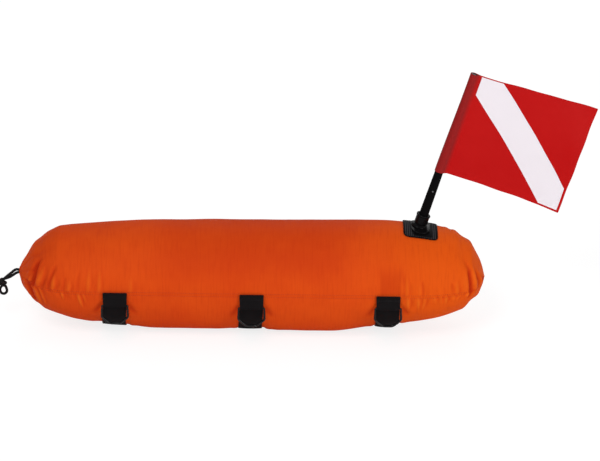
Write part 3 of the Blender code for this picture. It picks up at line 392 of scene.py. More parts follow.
body = {
    "length": 0.840, "radius": 0.0975, "axis": 0.0988, "gap": 0.0003,
    "nose": (
        (0.000, 0.074, 0.074, 0.074), (0.005, 0.180, 0.240, 0.250), (0.011, 0.270, 0.325, 0.375),
        (0.022, 0.462, 0.442, 0.550), (0.038, 0.622, 0.590, 0.715), (0.054, 0.746, 0.690, 0.820),
        (0.074, 0.840, 0.762, 0.910), (0.105, 0.874, 0.858, 0.966), (0.139, 0.914, 0.918, 0.979),
        (0.190, 0.958, 0.962, 0.980), (0.270, 0.988, 1.000, 0.986), (0.345, 0.994, 1.000, 1.000),
        (0.420, 1.000, 1.000, 1.000),
    ),
    "tail": (
        (0.000, 0.000, 0.000, 0.000), (0.004, 0.165, 0.130, 0.250), (0.011, 0.325, 0.250, 0.440),
        (0.020, 0.515, 0.352, 0.600), (0.033, 0.672, 0.490, 0.740), (0.055, 0.838, 0.630, 0.860),
        (0.097, 0.945, 0.766, 0.970), (0.138, 0.989, 0.846, 1.002), (0.181, 1.022, 0.900, 1.003),
        (0.225, 1.026, 0.950, 1.004), (0.290, 1.016, 0.998, 1.006), (0.350, 1.008, 1.000, 1.000),
        (0.420, 1.000, 1.000, 1.000),
    ),
}
noseX = -body["length"] / 2
tailX = body["length"] / 2


def fair(rows, column, at):  # smooth reading of an outline between its rows
    if at <= rows[0][0]:
        return rows[0][column]
    if at >= rows[-1][0]:
        return rows[-1][column]
    slopes = [(high[column] - low[column]) / (high[0] - low[0]) for low, high in zip(rows, rows[1:])]
    tangents = [slopes[0]]
    for before, after in zip(slopes, slopes[1:]):
        tangents.append(0.0 if before * after <= 0.0 else 2.0 * before * after / (before + after))
    tangents.append(0.0)
    index = 0
    while rows[index + 1][0] < at:
        index += 1
    low, high = rows[index], rows[index + 1]
    span = high[0] - low[0]
    t = (at - low[0]) / span
    start = (1 + 2 * t) * (1 - t) ** 2 * low[column] + t * (1 - t) ** 2 * span * tangents[index]
    return start + t * t * (3 - 2 * t) * high[column] + t * t * (t - 1) * span * tangents[index + 1]


sectionCache = {}


def section(x):  # height, belly and half width at one station
    key = round(x, 6)
    if key not in sectionCache:
        shares = [fair(body["nose"], c, x - noseX) * fair(body["tail"], c, tailX - x) for c in (1, 2, 3)]
        sectionCache[key] = [max(share, 1e-4) * body["radius"] for share in shares]
    return sectionCache[key]


def onBody(x, degrees, lift=0.0):  # angle from the top towards the front
    angle = math.radians(degrees)
    top, belly, side = section(x)
    up = top if math.cos(angle) >= 0.0 else belly
    out = Vector((0.0, -math.sin(angle) / side, math.cos(angle) / up)).normalized()
    return Vector((x, -side * math.sin(angle), body["axis"] + up * math.cos(angle))) + out * lift


def bodyNormal(x, degrees):
    along = onBody(x + 0.001, degrees) - onBody(x - 0.001, degrees)
    around = onBody(x, degrees + 1.0) - onBody(x, degrees - 1.0)
    return along.cross(around).normalized() * -1.0


def ease(value, low, high):
    share = min(1.0, max(0.0, (value - low) / (high - low)))
    return share * share * (3.0 - 2.0 * share)


def spaced(low, high, count):
    return [low + (high - low) * i / count for i in range(count + 1)]


def arcDegrees(length):  # the angle that a length spans round the body
    return math.degrees(length / body["radius"])


def turnFrom(degrees, angle):
    return abs((degrees - angle + 180.0) % 360.0 - 180.0)


def roundNoise(x, degrees, along, across, shift=0.0):  # noise that closes round the body
    turn = math.radians(degrees)
    return noise.noise(Vector((x * along + shift, math.cos(turn) * across, math.sin(turn) * across)))


def padInward(a, b, size, corner):  # distance inside a pad's rounded outline
    qa = abs(a) - (size[0] / 2 - corner)
    qb = abs(b) - (size[1] / 2 - corner)
    return corner - math.hypot(max(qa, 0.0), max(qb, 0.0)) - min(max(qa, qb), 0.0)


def padReach(a, size, corner):  # half the pad's width at one place along it
    into = max(0.0, abs(a) - (size[0] / 2 - corner))
    return size[1] / 2 - corner + math.sqrt(max(0.0, corner * corner - into * into))


# mesh helpers


def addPiece(name, bm, finish, node=None, rides="float", sharp=180.0, turned=True,
             wall=0.0, offset=0.0):
    if turned:
        bmesh.ops.recalc_face_normals(bm, faces=bm.faces)
    for edge in bm.edges:  # an open edge stays crisp where its wall turns round
        edge.smooth = not edge.is_boundary
    mesh = bpy.data.meshes.new(name)
    bm.to_mesh(mesh)
    bm.free()
    mesh.shade_smooth()
    if sharp < 180.0:
        mesh.set_sharp_from_angle(angle=math.radians(sharp))
    mesh.materials.append(finishes[finish])
    piece = addObject(name, mesh)
    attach(piece, rides)
    if node:
        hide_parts(node)
    if wall:
        solid = piece.modifiers.new("wall", "SOLIDIFY")
        solid.thickness = wall
        solid.offset = offset
    return piece


def faceTowards(bm, way):
    bmesh.ops.recalc_face_normals(bm, faces=bm.faces)
    bm.normal_update()
    if sum(face.normal.dot(way) for face in bm.faces) < 0.0:
        bmesh.ops.reverse_faces(bm, faces=bm.faces)


def wayMatrix(centre, way):
    return Matrix.Translation(centre) @ Vector(way).to_track_quat("Z", "Y").to_matrix().to_4x4()


def addBead(bm, matrix, size):  # a stitch or a zip's tooth
    bmesh.ops.create_icosphere(bm, subdivisions=1, radius=1.0, matrix=matrix @ Matrix.Diagonal((*size, 1.0)))


def turnedMesh(profile, centre, way, sides, flutes=None):
    bm = bmesh.new()
    verts = [bm.verts.new((radius, 0.0, height)) for radius, height in profile]
    edges = [bm.edges.new(pair) for pair in zip(verts, verts[1:] + verts[:1])]
    turn = {"cent": (0, 0, 0), "axis": (0, 0, 1), "angle": math.tau, "steps": sides, "use_merge": True}
    bmesh.ops.spin(bm, geom=verts + edges, **turn)
    bmesh.ops.remove_doubles(bm, verts=bm.verts, dist=1e-6)
    for edge in [edge for edge in bm.edges if not edge.link_faces]:
        bm.edges.remove(edge)
    if flutes:
        outer, low, high, count, depth = flutes
        for vert in bm.verts:
            radius = math.hypot(vert.co.x, vert.co.y)
            if radius > outer and low <= vert.co.z <= high:
                swing = 0.5 + 0.5 * math.cos(count * math.atan2(vert.co.y, vert.co.x))
                share = 1.0 - depth * swing ** 0.6 / radius
                vert.co.x *= share
                vert.co.y *= share
    bmesh.ops.transform(bm, matrix=wayMatrix(centre, way), verts=bm.verts)
    return bm


def rodMesh(points, radius, closed=False, sides=4, girths=()):  # tube along points, from a bevelled curve
    curve = bpy.data.curves.new("route", "CURVE")
    curve.dimensions = "3D"
    curve.bevel_depth = radius
    curve.bevel_resolution = sides
    curve.use_fill_caps = True
    curve.resolution_u = 1
    spline = curve.splines.new("POLY")
    spline.points.add(len(points) - 1)
    for target, point in zip(spline.points, points):
        target.co = (*point, 1.0)
    for target, girth in zip(spline.points, girths):
        target.radius = girth
    spline.use_cyclic_u = closed
    holder = addObject("route", curve)
    mesh = bpy.data.meshes.new_from_object(holder)
    bm = bmesh.new()
    bm.from_mesh(mesh)
    bpy.data.objects.remove(holder, do_unlink=True)
    bpy.data.curves.remove(curve)
    bpy.data.meshes.remove(mesh)
    return bm


# tow cord

cordSizes = {
    "radius": 0.00245, "bight": 0.0025, "wrap": 0.0053, "entry": 0.0145, "pitch": 0.0052, "turns": 1.75,
    "step": 0.0027, "fineStep": 0.0009, "length": 0.215, "knotWay": (-0.30, 0.0, -0.954),
}


def cordRoute():
    def fromNose(points):
        return [Vector((noseX + x, y, body["axis"] + z)) for x, y, z in points]
    entry, bight, wrap = cordSizes["entry"], cordSizes["bight"], cordSizes["wrap"]
    leave = fromNose([
        (entry, 0.0, bight), (0.007, 0.0, bight), (0.0, 0.0, bight), (-0.008, 0.0, bight - 0.0005),
        (-0.016, 0.0, -0.0045), (-0.024, 0.0, -0.0115), (-0.0295, 0.0, -0.0175),
    ])
    knotWay = Vector(cordSizes["knotWay"])
    knotLength = cordSizes["pitch"] * (cordSizes["turns"] + 0.6)
    eyeTop = leave[-1] + knotWay * knotLength
    eye = [(0.0, 0.0), (-0.0035, -0.0075), (-0.0015, -0.0150), (0.0045, -0.0165), (0.0088, -0.0115)]
    eye.append((0.0075, -0.0040))
    side = Vector((-knotWay.z, 0.0, knotWay.x))
    depth = knotWay.cross(side)
    turns = []
    for share in spaced(0.0, 1.0, round(cordSizes["turns"] * 9)):
        angle = math.tau * cordSizes["turns"] * share
        along = knotLength - cordSizes["pitch"] * (0.3 + cordSizes["turns"] * share)
        turns.append(leave[-1] + knotWay * along + (side * math.cos(angle) + depth * math.sin(angle)) * wrap)
    back = fromNose([
        (-0.0195, 0.0048, -0.0150), (-0.012, 0.0010, -0.0085), (-0.006, 0.0, -0.0040),
        (0.0, 0.0, -bight), (0.007, 0.0, -bight), (entry, 0.0, -bight),
    ])
    return leave + [eyeTop + Vector((x, 0.0, height)) for x, height in eye] + turns + back


def runLengths(line):
    lengths = [0.0]
    for low, high in zip(line, line[1:]):
        lengths.append(lengths[-1] + (high - low).length)
    return lengths


def pointAt(line, lengths, share):  # the point at a share of a line's length
    target = lengths[-1] * share
    index = min(max(bisect_left(lengths, target) - 1, 0), len(line) - 2)
    low, high = lengths[index:index + 2]
    return line[index].lerp(line[index + 1], (target - low) / (high - low))


def smoothRoute(points, step):  # even points along a smooth curve through the given ones
    fine = []
    padded = [points[0] * 2 - points[1]] + points + [points[-1] * 2 - points[-2]]
    for a, b, c, d in zip(padded, padded[1:], padded[2:], padded[3:]):
        for i in range(16):
            t = i / 16
            square = (a * 2 - b * 5 + c * 4 - d) * t * t
            fine.append((b * 2 + (c - a) * t + square + (b * 3 - a - c * 3 + d) * t ** 3) / 2)
    fine.append(points[-1])
    lengths = runLengths(fine)
    return [pointAt(fine, lengths, share) for share in spaced(0.0, 1.0, round(lengths[-1] / step))]


def lengthMap(bm, route):  # UV: metres along the route, then turns round it
    layer = bm.loops.layers.uv.new("UVMap")
    ways = [(b - a).normalized() for a, b in zip(route, route[1:])]
    ways.append(ways[-1])
    side = Vector((0.0, 1.0, 0.0))
    run = runLengths(route)
    places = {}
    for vert in bm.verts:
        near = min(range(len(route)), key=lambda i: (route[i] - vert.co).length_squared)
        out = vert.co - route[near]
        turn = math.atan2(out.dot(side), out.dot(ways[near].cross(side))) / math.tau
        places[vert] = (run[near] + out.dot(ways[near]), turn)
    for face in bm.faces:
        turns = [places[loop.vert][1] for loop in face.loops]
        for loop, turn in zip(face.loops, turns):
            if max(turns) - min(turns) > 0.5 and turn < 0.0:
                turn += 1.0
            loop[layer].uv = (places[loop.vert][0], turn)


def makeCord():
    coarse = smoothRoute(cordRoute(), cordSizes["step"])
    route = smoothRoute(cordRoute(), cordSizes["fineStep"])
    bm = rodMesh(route, cordSizes["radius"], sides=5)
    lengthMap(bm, route)
    piece = addPiece("towCord", bm, "cord", "tow_cord")
    [tuple(point) for point in coarse]
    print("tow cord", round(runLengths(route)[-1], 4), "m")


makeCord()


# cover

cover = {
    "wall": 0.0008, "around": 120, "grooveWidth": 0.0012, "grooveDepth": 0.00003,
    "puckerStep": (0.010, 0.018), "mouth": 0.0066, "hem": 0.0013, "gathers": 15, "floor": 0.0002,
    "flatLength": 0.90, "stitchPitch": 0.0038, "stitchSide": 0.0030, "stitch": (0.00030, 0.00030, 0.00135),
}
straps = {"nose": noseX + 0.176, "mid": 0.0, "tail": tailX - 0.176}
strapSizes = {
    "width": 0.042, "thick": 0.0015, "keeper": 0.0012, "top": 89.0, "taper": 95.0, "bar": 103.0,
    "wire": 0.0016, "side": 0.0225, "drop": 0.035, "foot": 0.009, "thickWire": 0.0021, "sewn": 0.0006,
    "drawn": 0.0005, "clear": 0.0215, "askew": {"nose": -0.0036, "mid": -0.0027, "tail": -0.0004},
    "slack": {"nose": 0.0004, "mid": 0.0008, "tail": 0.0036},
}
mastSizes = {
    "place": tailX - 0.120, "lean": 16.9, "patch": (0.062, 0.076), "patchPlace": tailX - 0.1185,
    "patchThick": 0.0016, "patchTurn": 0.070, "seat": (0.034, 0.066), "seatShift": 0.0035,
    "corner": 0.009, "foot": 0.0045, "footRadius": 0.0085, "neckRadius": 0.0076, "tubeRadius": 0.0058,
    "tubeWall": 0.0013, "top": 0.3035, "base": (0.034, 0.056), "baseShift": 0.0016, "baseCorner": 0.015,
    "baseThick": 0.0028, "baseEdge": 0.0012, "rib": 0.0033, "flare": 0.0158, "flareHigh": 0.0056,
    "socketWall": 0.0013, "socketTop": 0.0182, "collarFoot": 0.0076, "flutes": (0.0092, 0.0192, 22, 0.0004),
    "collarTop": 0.0248, "collarWall": 0.0014, "collarLip": 0.0008, "lipHigh": 0.0036, "gripHigh": 0.0022,
}
zipSizes = {
    "angle": -66.0, "place": 0.025, "length": 0.350, "tape": 0.013, "thick": 0.0008, "coil": 0.0022,
    "coilHigh": 0.0009, "stop": 0.006, "slider": 0.0075, "tooth": 0.0021,
}
valveSizes = {"place": noseX + 0.182, "angle": -62.0, "opening": 0.0095, "collar": 0.0150}


def creasesFrom(rows):  # the tables below are in millimetres
    return [([(x / 1000, s / 1000) for x, s in points], depth / 1000, width / 1000, tone)
            for points, depth, width, tone in rows]


# long creases in the cloth: points are (x, distance below the seam), then depth, width and how dark the
# painted shade along it reads
frontCreases = creasesFrom([
    ([(-393.5, 4), (-392.5, -20), (-389, -48), (-383, -70), (-376, -86)], 5.2, 3.6, 2.4),
    ([(-402, -4), (-399.8, 22), (-395.5, 48), (-388, 78), (-378, 104), (-356, 126)], 4.6, 4.2, 2.4),
    ([(-365, 0), (-362, -18), (-353, -46), (-346, -64)], 1.8, 2.8, 0.9),
    ([(-376, -3), (-372, -18), (-364, -36)], 1, 2.6, 0.45),
    ([(-337, -2), (-334, -24), (-330, -34)], 1.2, 2.6, 0.45),
    ([(-311, -4), (-309, -26), (-306, -52)], 1, 2.8, 0.45),
    ([(-279, -2), (-277, -30), (-275, -52)], 0.7, 3, 0.25),
    ([(-406, -6), (-401, -26), (-393, -44)], 1.4, 2.8, 0.45),
    ([(390, 20), (393.2, 6), (392.8, -10), (391.5, -35), (388, -62), (377, -92)], 4.6, 3.3, 2.3),
    ([(408.5, -2), (408, -30), (403, -60), (396, -80)], 1.8, 2.8, 0.7),
    ([(418, -4), (416.5, -34), (413, -66)], 1.6, 2.6, 1.4),
    ([(396, 2), (403, 3), (409, 4)], 0.8, 1.6, 0.8),
    ([(362, -3), (358.5, -20), (356, -30)], 1, 2.6, 0.4),
    ([(306, -4), (305, -24), (305, -34)], 0.8, 3, 0.35),
    ([(273, -3), (272, -26), (272, -50)], 0.8, 3.2, 0.35),
])
rearCreases = creasesFrom([
    ([(-390, -2), (-384, -26), (-370, -44)], 2.6, 3.2, 0.9),
    ([(-400, 0), (-392, 22), (-368, 46)], 2, 3.6, 0.7),
    ([(-352, -3), (-340, -34)], 1.3, 3.2, 0.5),
    ([(-325, 4), (-316, 30)], 1.2, 3, 0.4),
    ([(388, 20), (390, -4), (384, -40)], 3.2, 3.2, 0.9),
    ([(405, 8), (404, -30)], 1.2, 2.6, 0.5),
    ([(322, 6), (314, 40)], 1.2, 3, 0.4),
    ([(352, 5), (347, 30)], 1.1, 2.8, 0.4),
])
for place in straps.values():  # the rings' upper corners pull a fold down and outwards on either side, with painted shade along it
    for way in (-1, 1):
        pull = [(place + way * 0.0262, 0.024), (place + way * 0.0310, 0.036), (place + way * 0.0400, 0.052)]
        frontCreases.append((pull, 0.0016, 0.0042, 0.95))
        rearCreases.append((pull, 0.0016, 0.0042, 0.8))

# folds that stand up from the seam: x at the seam, side (1 below), reach, lean, height, width, and how strong
# the painted highlight on the ridge and the painted shade on its flank are
frontLeaves = [
    (-339, 1, 22, 0.14, 1.6, 2, 0.8), (-310, 1, 38, 0.22, 1.8, 2.4, 0.9), (-301, 1, 26, 0.2, 1.2, 2, 0.6),
    (-390, 1, 80, 0.2, 1.6, 2.2, 0.8), (-381, 1, 66, 0.22, 1.3, 2, 0.6), (-356, -1, 40, 0.1, 1.4, 3, 0.6),
    (-327, -1, 30, 0.1, 1.2, 2.6, 0.5), (-292, -1, 50, 0.06, 1, 2.8, 0.5), (-385, -1, 62, 0.24, 2, 4, 0.6),
    (-401, -1, 64, 0.24, 2.2, 3, 0.9), (-408, -1, 50, 0.2, 1.4, 2.4, 0.4),
    (-272, -1, 50, 0.02, 0.8, 2.6, 0.5), (-215, -1, 36, 0, 0.6, 3, 0.4), (279, 1, 34, 0.04, 1.8, 2.6, 0.9),
    (298, 1, 36, 0, 1.8, 2.6, 0.9), (310, 1, 40, -0.14, 1.5, 2.2, 0.7), (327, 1, 22, 0.06, 1.4, 2.8, 0.6),
    (338, 1, 26, 0.04, 1.2, 2.2, 0.5), (348, 1, 26, -0.04, 1.5, 2.2, 0.9), (362, 1, 20, -0.1, 1.2, 2, 0.7),
    (372, 1, 26, -0.22, 1.3, 2, 0.6), (387, 1, 20, -0.06, 1.6, 3.6, 0.9), (276, -1, 40, 0, 1.1, 3, 0.5),
    (268, -1, 44, 0, 0.8, 2.4, 0.4), (300, -1, 30, 0, 0.8, 2.8, 0.4), (368, -1, 34, -0.06, 1, 2.6, 0.5),
    (400, -1, 80, -0.07, 1.8, 3.4, 0.7), (412.5, -1, 60, -0.05, 1.2, 2.2, 0.4),
    (383.5, -1, 60, -0.06, 1, 4, 0.3),
]
frontLeaves = [(x / 1000, side, reach / 1000, lean, high / 1000, wide / 1000, paintedHighlight)
               for x, side, reach, lean, high, wide, paintedHighlight in frontLeaves]
rearLeaves = [(x + 0.006 * math.sin(50.0 * x), *rest) for x, *rest in frontLeaves[::2]]

# where the cloth bends over the tips like flat panels: x, first and last degree, height, width
panelEdges = [
    (-392, -80, 70, 1.2, 6), (-348, -80, 60, 0.4, 7), (-370, -80, 70, 0.6, 9), (349, -70, 50, 1, 4),
    (363.5, -70, 60, 1, 4.5), (377.5, -80, 60, -1.6, 7), (392, -80, 70, 1.9, 5.5),
    (358, -70, 50, -0.8, 3.5), (410, -80, 100, 1, 4.5), (380, 112, 200, 1.6, 7), (406, 108, 200, 2.4, 6),
    (394, 112, 200, -0.8, 5), (-272, 112, 220, -2.6, 10),
]


def seamPuckers(seed):  # short folds that leave a seam both ways: x, side, reach, lean, depth, width
    picker = random.Random(seed)
    folds = []
    for side in (-1, 1):
        x = noseX + 0.034
        while x < tailX - 0.030:
            nearNose = 1.0 - ease(x, noseX + 0.05, noseX + 0.21)
            nearTail = ease(x, tailX - 0.175, tailX - 0.09)
            force = 0.16 + 0.40 * max(nearNose, nearTail)
            if side > 0:
                reach = 0.012 + 0.030 * force * picker.uniform(0.6, 1.2)
                lean = 0.30 * nearNose - 0.16 * nearTail
                depth = 0.0013 * force * picker.uniform(0.5, 1.2)
            else:
                reach = 0.012 + 0.040 * force * picker.uniform(0.5, 1.2)
                lean = 0.45 * nearNose - 0.05
                depth = 0.0010 * force * picker.uniform(0.4, 1.1)
            lean += picker.uniform(-0.1, 0.1)
            folds.append((x, side, reach, lean, depth, picker.uniform(0.0020, 0.0034)))
            low, high = cover["puckerStep"]
            x += picker.uniform(low, high) * (1.0 if nearTail < 0.5 or side < 0 else 0.75)
    return folds


seams = [
    {"angle": 90.0, "way": 1.0, "folds": seamPuckers(4), "creases": frontCreases, "leaves": frontLeaves},
    {"angle": 270.0, "way": -1.0, "folds": seamPuckers(9), "creases": rearCreases, "leaves": rearLeaves},
]
gatherPicker = random.Random(21)
gathers = []  # angle, reach, depth and width in degrees
for number in range(cover["gathers"]):
    middle = 360.0 * (number + gatherPicker.uniform(0.2, 0.8)) / cover["gathers"]
    spans = ((0.045, 0.105), (0.0009, 0.0019), (4.0, 7.0))
    gathers.append((middle, *(gatherPicker.uniform(*span) for span in spans)))


def lineDistance(x, s, points):
    best = 1.0
    share = 0.0
    for index, ((ax, ay), (bx, by)) in enumerate(zip(points, points[1:])):
        dx, dy = bx - ax, by - ay
        t = min(1.0, max(0.0, ((x - ax) * dx + (s - ay) * dy) / (dx * dx + dy * dy)))
        gap = math.hypot(x - ax - dx * t, s - ay - dy * t)
        if gap < best:
            best = gap
            share = (index + t) / (len(points) - 1)
    return best, share


def calmArea(x, degrees):  # 0 where something sits on the cloth, 1 elsewhere
    def aside(angle):
        return math.radians(turnFrom(degrees, angle)) * body["radius"]
    calm = 1.0
    for place in straps.values():
        if 87.5 < degrees < 272.5:
            calm = min(calm, ease(abs(x - place), strapSizes["clear"], 0.027))
    length, width = mastSizes["patch"]
    zipHalf = zipSizes["tape"] + 0.003
    beyond = [
        max(abs(x - mastSizes["patchPlace"]) - length / 2, aside(0.0) - width / 2),
        max(abs(x - zipSizes["place"]) - zipSizes["length"] / 2, aside(zipSizes["angle"]) - zipHalf),
        math.hypot(x - valveSizes["place"], aside(valveSizes["angle"])) - valveSizes["collar"],
    ]
    return min(calm, ease(min(beyond), 0.001, 0.012))


def bell(distance, width):
    return math.exp(-(distance / width) ** 2)


def foldRelief(seam, x, far, side):  # short folds from the seam: raised on one flank, with painted shade in the dip
    lift = dark = 0.0
    for place, foldSide, reach, lean, depth, width in seam["folds"]:
        aside = x - place - lean * far
        if foldSide == side and far <= reach and abs(aside) <= 0.012:
            fade = 1.0 - ease(far, 0.25 * reach, reach)
            dip = bell(aside, width)
            lift += depth * fade * (0.75 * bell(aside - 2.1 * width, width) - dip)
            dark += dip * fade * depth * 320.0
    return lift, dark


# folds that stand up from the seam: a painted highlight along the ridge and painted shade on one flank
def leafRelief(seam, x, far, side):
    lift = dark = 0.0
    for place, leafSide, reach, lean, high, width, paintedHighlight in seam["leaves"]:
        aside = x - place - lean * far
        if leafSide == side and far <= reach and abs(aside) <= 0.016:
            full = math.sin(math.pi * (far / reach) ** 0.7)
            wide = width * (0.5 + 0.7 * full)
            ridge = bell(aside, wide) * full
            flank = bell(aside - 2.0 * wide, wide) * full
            lift += high * (ridge - 0.5 * flank)
            dark += 0.45 * paintedHighlight * flank - paintedHighlight * ridge
    return lift, dark


# long creases: sunk into the cloth, with painted shade along them
def creaseRelief(seam, x, below):
    lift = dark = 0.0
    for points, depth, width, tone in seam["creases"]:
        if abs(x - points[0][0]) > 0.075:
            continue
        gap, share = lineDistance(x, below, points)
        if gap < 4.0 * width:
            fade = min(1.0, 0.55 + 1.8 * share) * (1.0 - ease(share, 0.55, 1.0))
            dip = bell(gap, width)
            lift += depth * fade * (0.35 * bell(gap - 2.2 * width, width) - dip)
            dark += 0.75 * tone * dip * fade
    return lift, dark


# gathers towards the mouth at the nose: sunk, with painted shade in them
def gatherRelief(fromNose, degrees):
    lift = dark = 0.0
    for middle, reach, depth, width in gathers:
        wide = width * (0.7 + 6.0 * fromNose)
        turn = turnFrom(degrees, middle)
        if fromNose < reach and turn < 3 * wide:
            dip = bell(turn, wide) * min(1.0, 0.25 + fromNose / 0.018) * (1.0 - fromNose / reach) ** 1.4
            lift -= depth * dip
            dark += 0.35 * dip
    return lift, dark


relief = {
    "reach": 0.13, "strapHigh": 0.0010, "strapAside": 0.029, "strapWide": 0.006, "restDip": 0.00025,
    "ripples": ((0.00055, 26.0, 1.3, 0.0), (0.0010, 9.0, 2.0, 40.0)),  # height, waves along and round, shift
    "flatFrom": (0.2290, 0.2305), "flatTo": (0.2660, 0.2740), "flatPaintedShade": 0.42,
    "noseSwell": 0.0031, "tailSwell": 0.0049,
}


def clothRelief(x, degrees):  # how far the cloth stands out from the plain body, and how much painted shade it carries (below zero: painted highlight)
    degrees = degrees % 360.0
    reliefs = [gatherRelief(x - noseX, degrees)]
    for seam in seams:
        below = math.radians(degrees - seam["angle"]) * seam["way"] * body["radius"]
        if abs(below) > relief["reach"]:
            continue
        side = 1 if below > 0 else -1
        reliefs += [foldRelief(seam, x, abs(below), side), leafRelief(seam, x, abs(below), side)]
        # a faint painted shade in the seam's groove
        groove = bell(below, cover["grooveWidth"]) * ease(x, noseX + 0.02, noseX + 0.05)
        groove *= 1.0 - ease(x, tailX - 0.034, tailX - 0.026)
        reliefs += [creaseRelief(seam, x, below), (-cover["grooveDepth"] * groove, 0.01 * groove)]
        if seam["way"] > 0 and -0.065 < below < 0.0:  # painted shade above the tail strap, where the strap draws the cloth flat
            band = ease(x, *relief["flatFrom"]) * (1.0 - ease(x, *relief["flatTo"]))
            reliefs.append((0.0, relief["flatPaintedShade"] * band * ease(below, -0.062, -0.030)))
    lift, dark = (sum(column) for column in zip(*reliefs))
    lift += sum(high * roundNoise(x, degrees, *waves) for high, *waves in relief["ripples"])
    if 92.0 < degrees < 268.0:
        aside = min(degrees, 360.0 - degrees)
        for place in straps.values():
            beside = bell(abs(x - place) - relief["strapAside"], relief["strapWide"])
            lift += relief["strapHigh"] * ease(aside, 92.0, 108.0) * beside
        lift += bellySwell(x) * ease(aside, 100.0, 145.0) * (1.0 - 0.8 * ease(aside, 160.0, 178.0))
    signed = degrees if degrees < 250.0 else degrees - 360.0
    for place, first, last, high, width in panelEdges:
        if abs(x * 1000 - place) < 3.0 * width and first < signed < last:
            span = ease(signed, first, first + 25.0) * (1.0 - ease(signed, last - 25.0, last))
            lift += high / 1000 * span * bell(x * 1000 - place, width)
    calm = calmArea(x, degrees)
    return lift * calm - relief["restDip"] * (1.0 - calm), max(-1.0, min(1.0, dark * calm))


def bellySwell(x):  # the cloth hangs fuller between the straps
    reach = straps["tail"]
    if abs(x) >= reach:
        return 0.0
    share = 1.0 - abs(2.0 * abs(x) / reach - 1.0)
    rise = 0.55 if x < 0 else 0.42 if x < reach / 2 else 0.80
    return relief["noseSwell" if x < 0 else "tailSwell"] * ease(share, 0.06, rise)


def coverStations():
    ends = [0.0, 0.0005, 0.0012, 0.0022, 0.0034, 0.0048, 0.0064, 0.0080]
    tips = ends + spaced(0.0080, 0.150, 88)[1:] + spaced(0.150, 0.205, 22)[1:]
    nose = [noseX + step for step in tips]
    tail = [tailX - step for step in tips]
    return nose + spaced(nose[-1], tail[-1], 96)[1:-1] + tail[::-1]


def shellMesh(stations, first, last, steps, place):  # a line along X turned part of the way round
    bm = bmesh.new()
    start = math.radians(first)
    verts = [bm.verts.new((x, -math.sin(start), math.cos(start))) for x in stations]
    edges = [bm.edges.new(pair) for pair in zip(verts, verts[1:])]
    turn = {"cent": (0, 0, 0), "axis": (1, 0, 0), "angle": math.radians(last - first), "steps": steps}
    bmesh.ops.spin(bm, geom=verts + edges, use_merge=last - first >= 360.0, **turn)
    layer = bm.loops.layers.uv.new("UVMap")
    mark = bm.verts.layers.float.new("paintedShadeAndHighlight")
    spots = {}
    for vert in bm.verts:
        turn = math.degrees(math.atan2(-vert.co.y, vert.co.z))
        while turn < first - 0.01:
            turn += 360.0
        spots[vert] = (vert.co.x, turn)
    for face in bm.faces:
        for loop in face.loops:
            x, turn = spots[loop.vert]
            loop[layer].uv = (x, math.radians(turn) * body["radius"])
    # each point keeps the painted shade and painted highlight that its relief gives
    for vert, (x, turn) in spots.items():
        vert.co, vert[mark] = place(x, turn)
    bmesh.ops.remove_doubles(bm, verts=bm.verts, dist=1e-5)
    return bm


def openForValve(bm):  # round opening, its rim drawn to a true circle
    centre = onBody(valveSizes["place"], valveSizes["angle"])
    way = bodyNormal(valveSizes["place"], valveSizes["angle"])
    radius = valveSizes["opening"]

    def parts(vert):
        out = vert.co - centre
        along = way * out.dot(way)
        return along, out - along

    def within(vert):
        along, flat = parts(vert)
        return flat.length < radius * 1.15 and along.length < 0.02
    doomed = [face for face in bm.faces if all(within(vert) for vert in face.verts)]
    rim = {vert for face in doomed for vert in face.verts}
    bmesh.ops.delete(bm, geom=doomed, context="FACES")
    for vert in rim:
        if vert.is_valid and vert.link_faces:
            along, flat = parts(vert)
            vert.co = centre + along + flat.normalized() * radius


def makeCover():
    for name, first, way in (("Upper", -90.0, 1.0), ("Lower", 90.0, -1.0)):
        def place(x, turn):
            lift, dark = clothRelief(x, turn)
            point = onBody(x, turn) + bodyNormal(min(max(x, noseX + 0.0015), tailX - 0.0015), turn) * lift
            point.z = max(point.z + way * body["gap"] / 30, cover["floor"])
            return point, dark
        bm = shellMesh(coverStations(), first, first + 180.0, cover["around"], place)
        if name == "Upper":
            openForValve(bm)
        faceTowards(bm, Vector((0.0, 0.0, way)))
        node = "cover_" + name.lower() + "_panel"
        piece = addPiece("cover" + name, bm, "cover", node, turned=False, wall=cover["wall"], offset=-1.0)
        print(piece.name, len(piece.data.polygons), "faces")


def makeHem():  # rolled hem round the mouth at the nose
    points = []
    for turn in spaced(0.0, 360.0, 60)[:-1]:
        angle = math.radians(turn)
        radius = cover["mouth"] * (1.0 + 0.05 * math.cos(angle * cover["gathers"]))
        high = body["axis"] + math.cos(angle) * radius
        points.append(Vector((noseX + 0.0006, -math.sin(angle) * radius, high)))
    bm = rodMesh(points, cover["hem"], closed=True)
    bm.verts.layers.float.new("paintedShadeAndHighlight")
    bm.loops.layers.uv.new("UVMap")
    addPiece("mouthHem", bm, "cover", sharp=40.0)


def stitchRun(name, spots, finish):  # each spot is a centre, a way and a stitch's half sizes
    bm = bmesh.new()
    for centre, way, size in spots:
        addBead(bm, wayMatrix(centre, way), size)
    addPiece(name, bm, finish)


def makeSeamStitches():
    for name, seam in (("seamStitchesFront", seams[0]), ("seamStitchesRear", seams[1])):
        spots = []
        for row, shift in ((-1, 0.0), (1, cover["stitchPitch"] / 2)):
            x = noseX + 0.040 + shift
            while x < tailX - 0.036:
                turn = seam["angle"] + row * arcDegrees(cover["stitchSide"])
                nearStrap = min(abs(x - place) for place in straps.values()) < strapSizes["clear"]
                if not (nearStrap and row * seam["way"] > 0):  # the straps start below the seam
                    spot = onBody(x, turn, clothRelief(x, turn)[0] + 0.00005)
                    spots.append((spot, (1.0, 0.0, 0.0), cover["stitch"]))
                x += cover["stitchPitch"]
        stitchRun(name, spots, "thread")


makeCover()
makeHem()
makeSeamStitches()
print("cover sewn")


# webbing straps, ring loops and rings

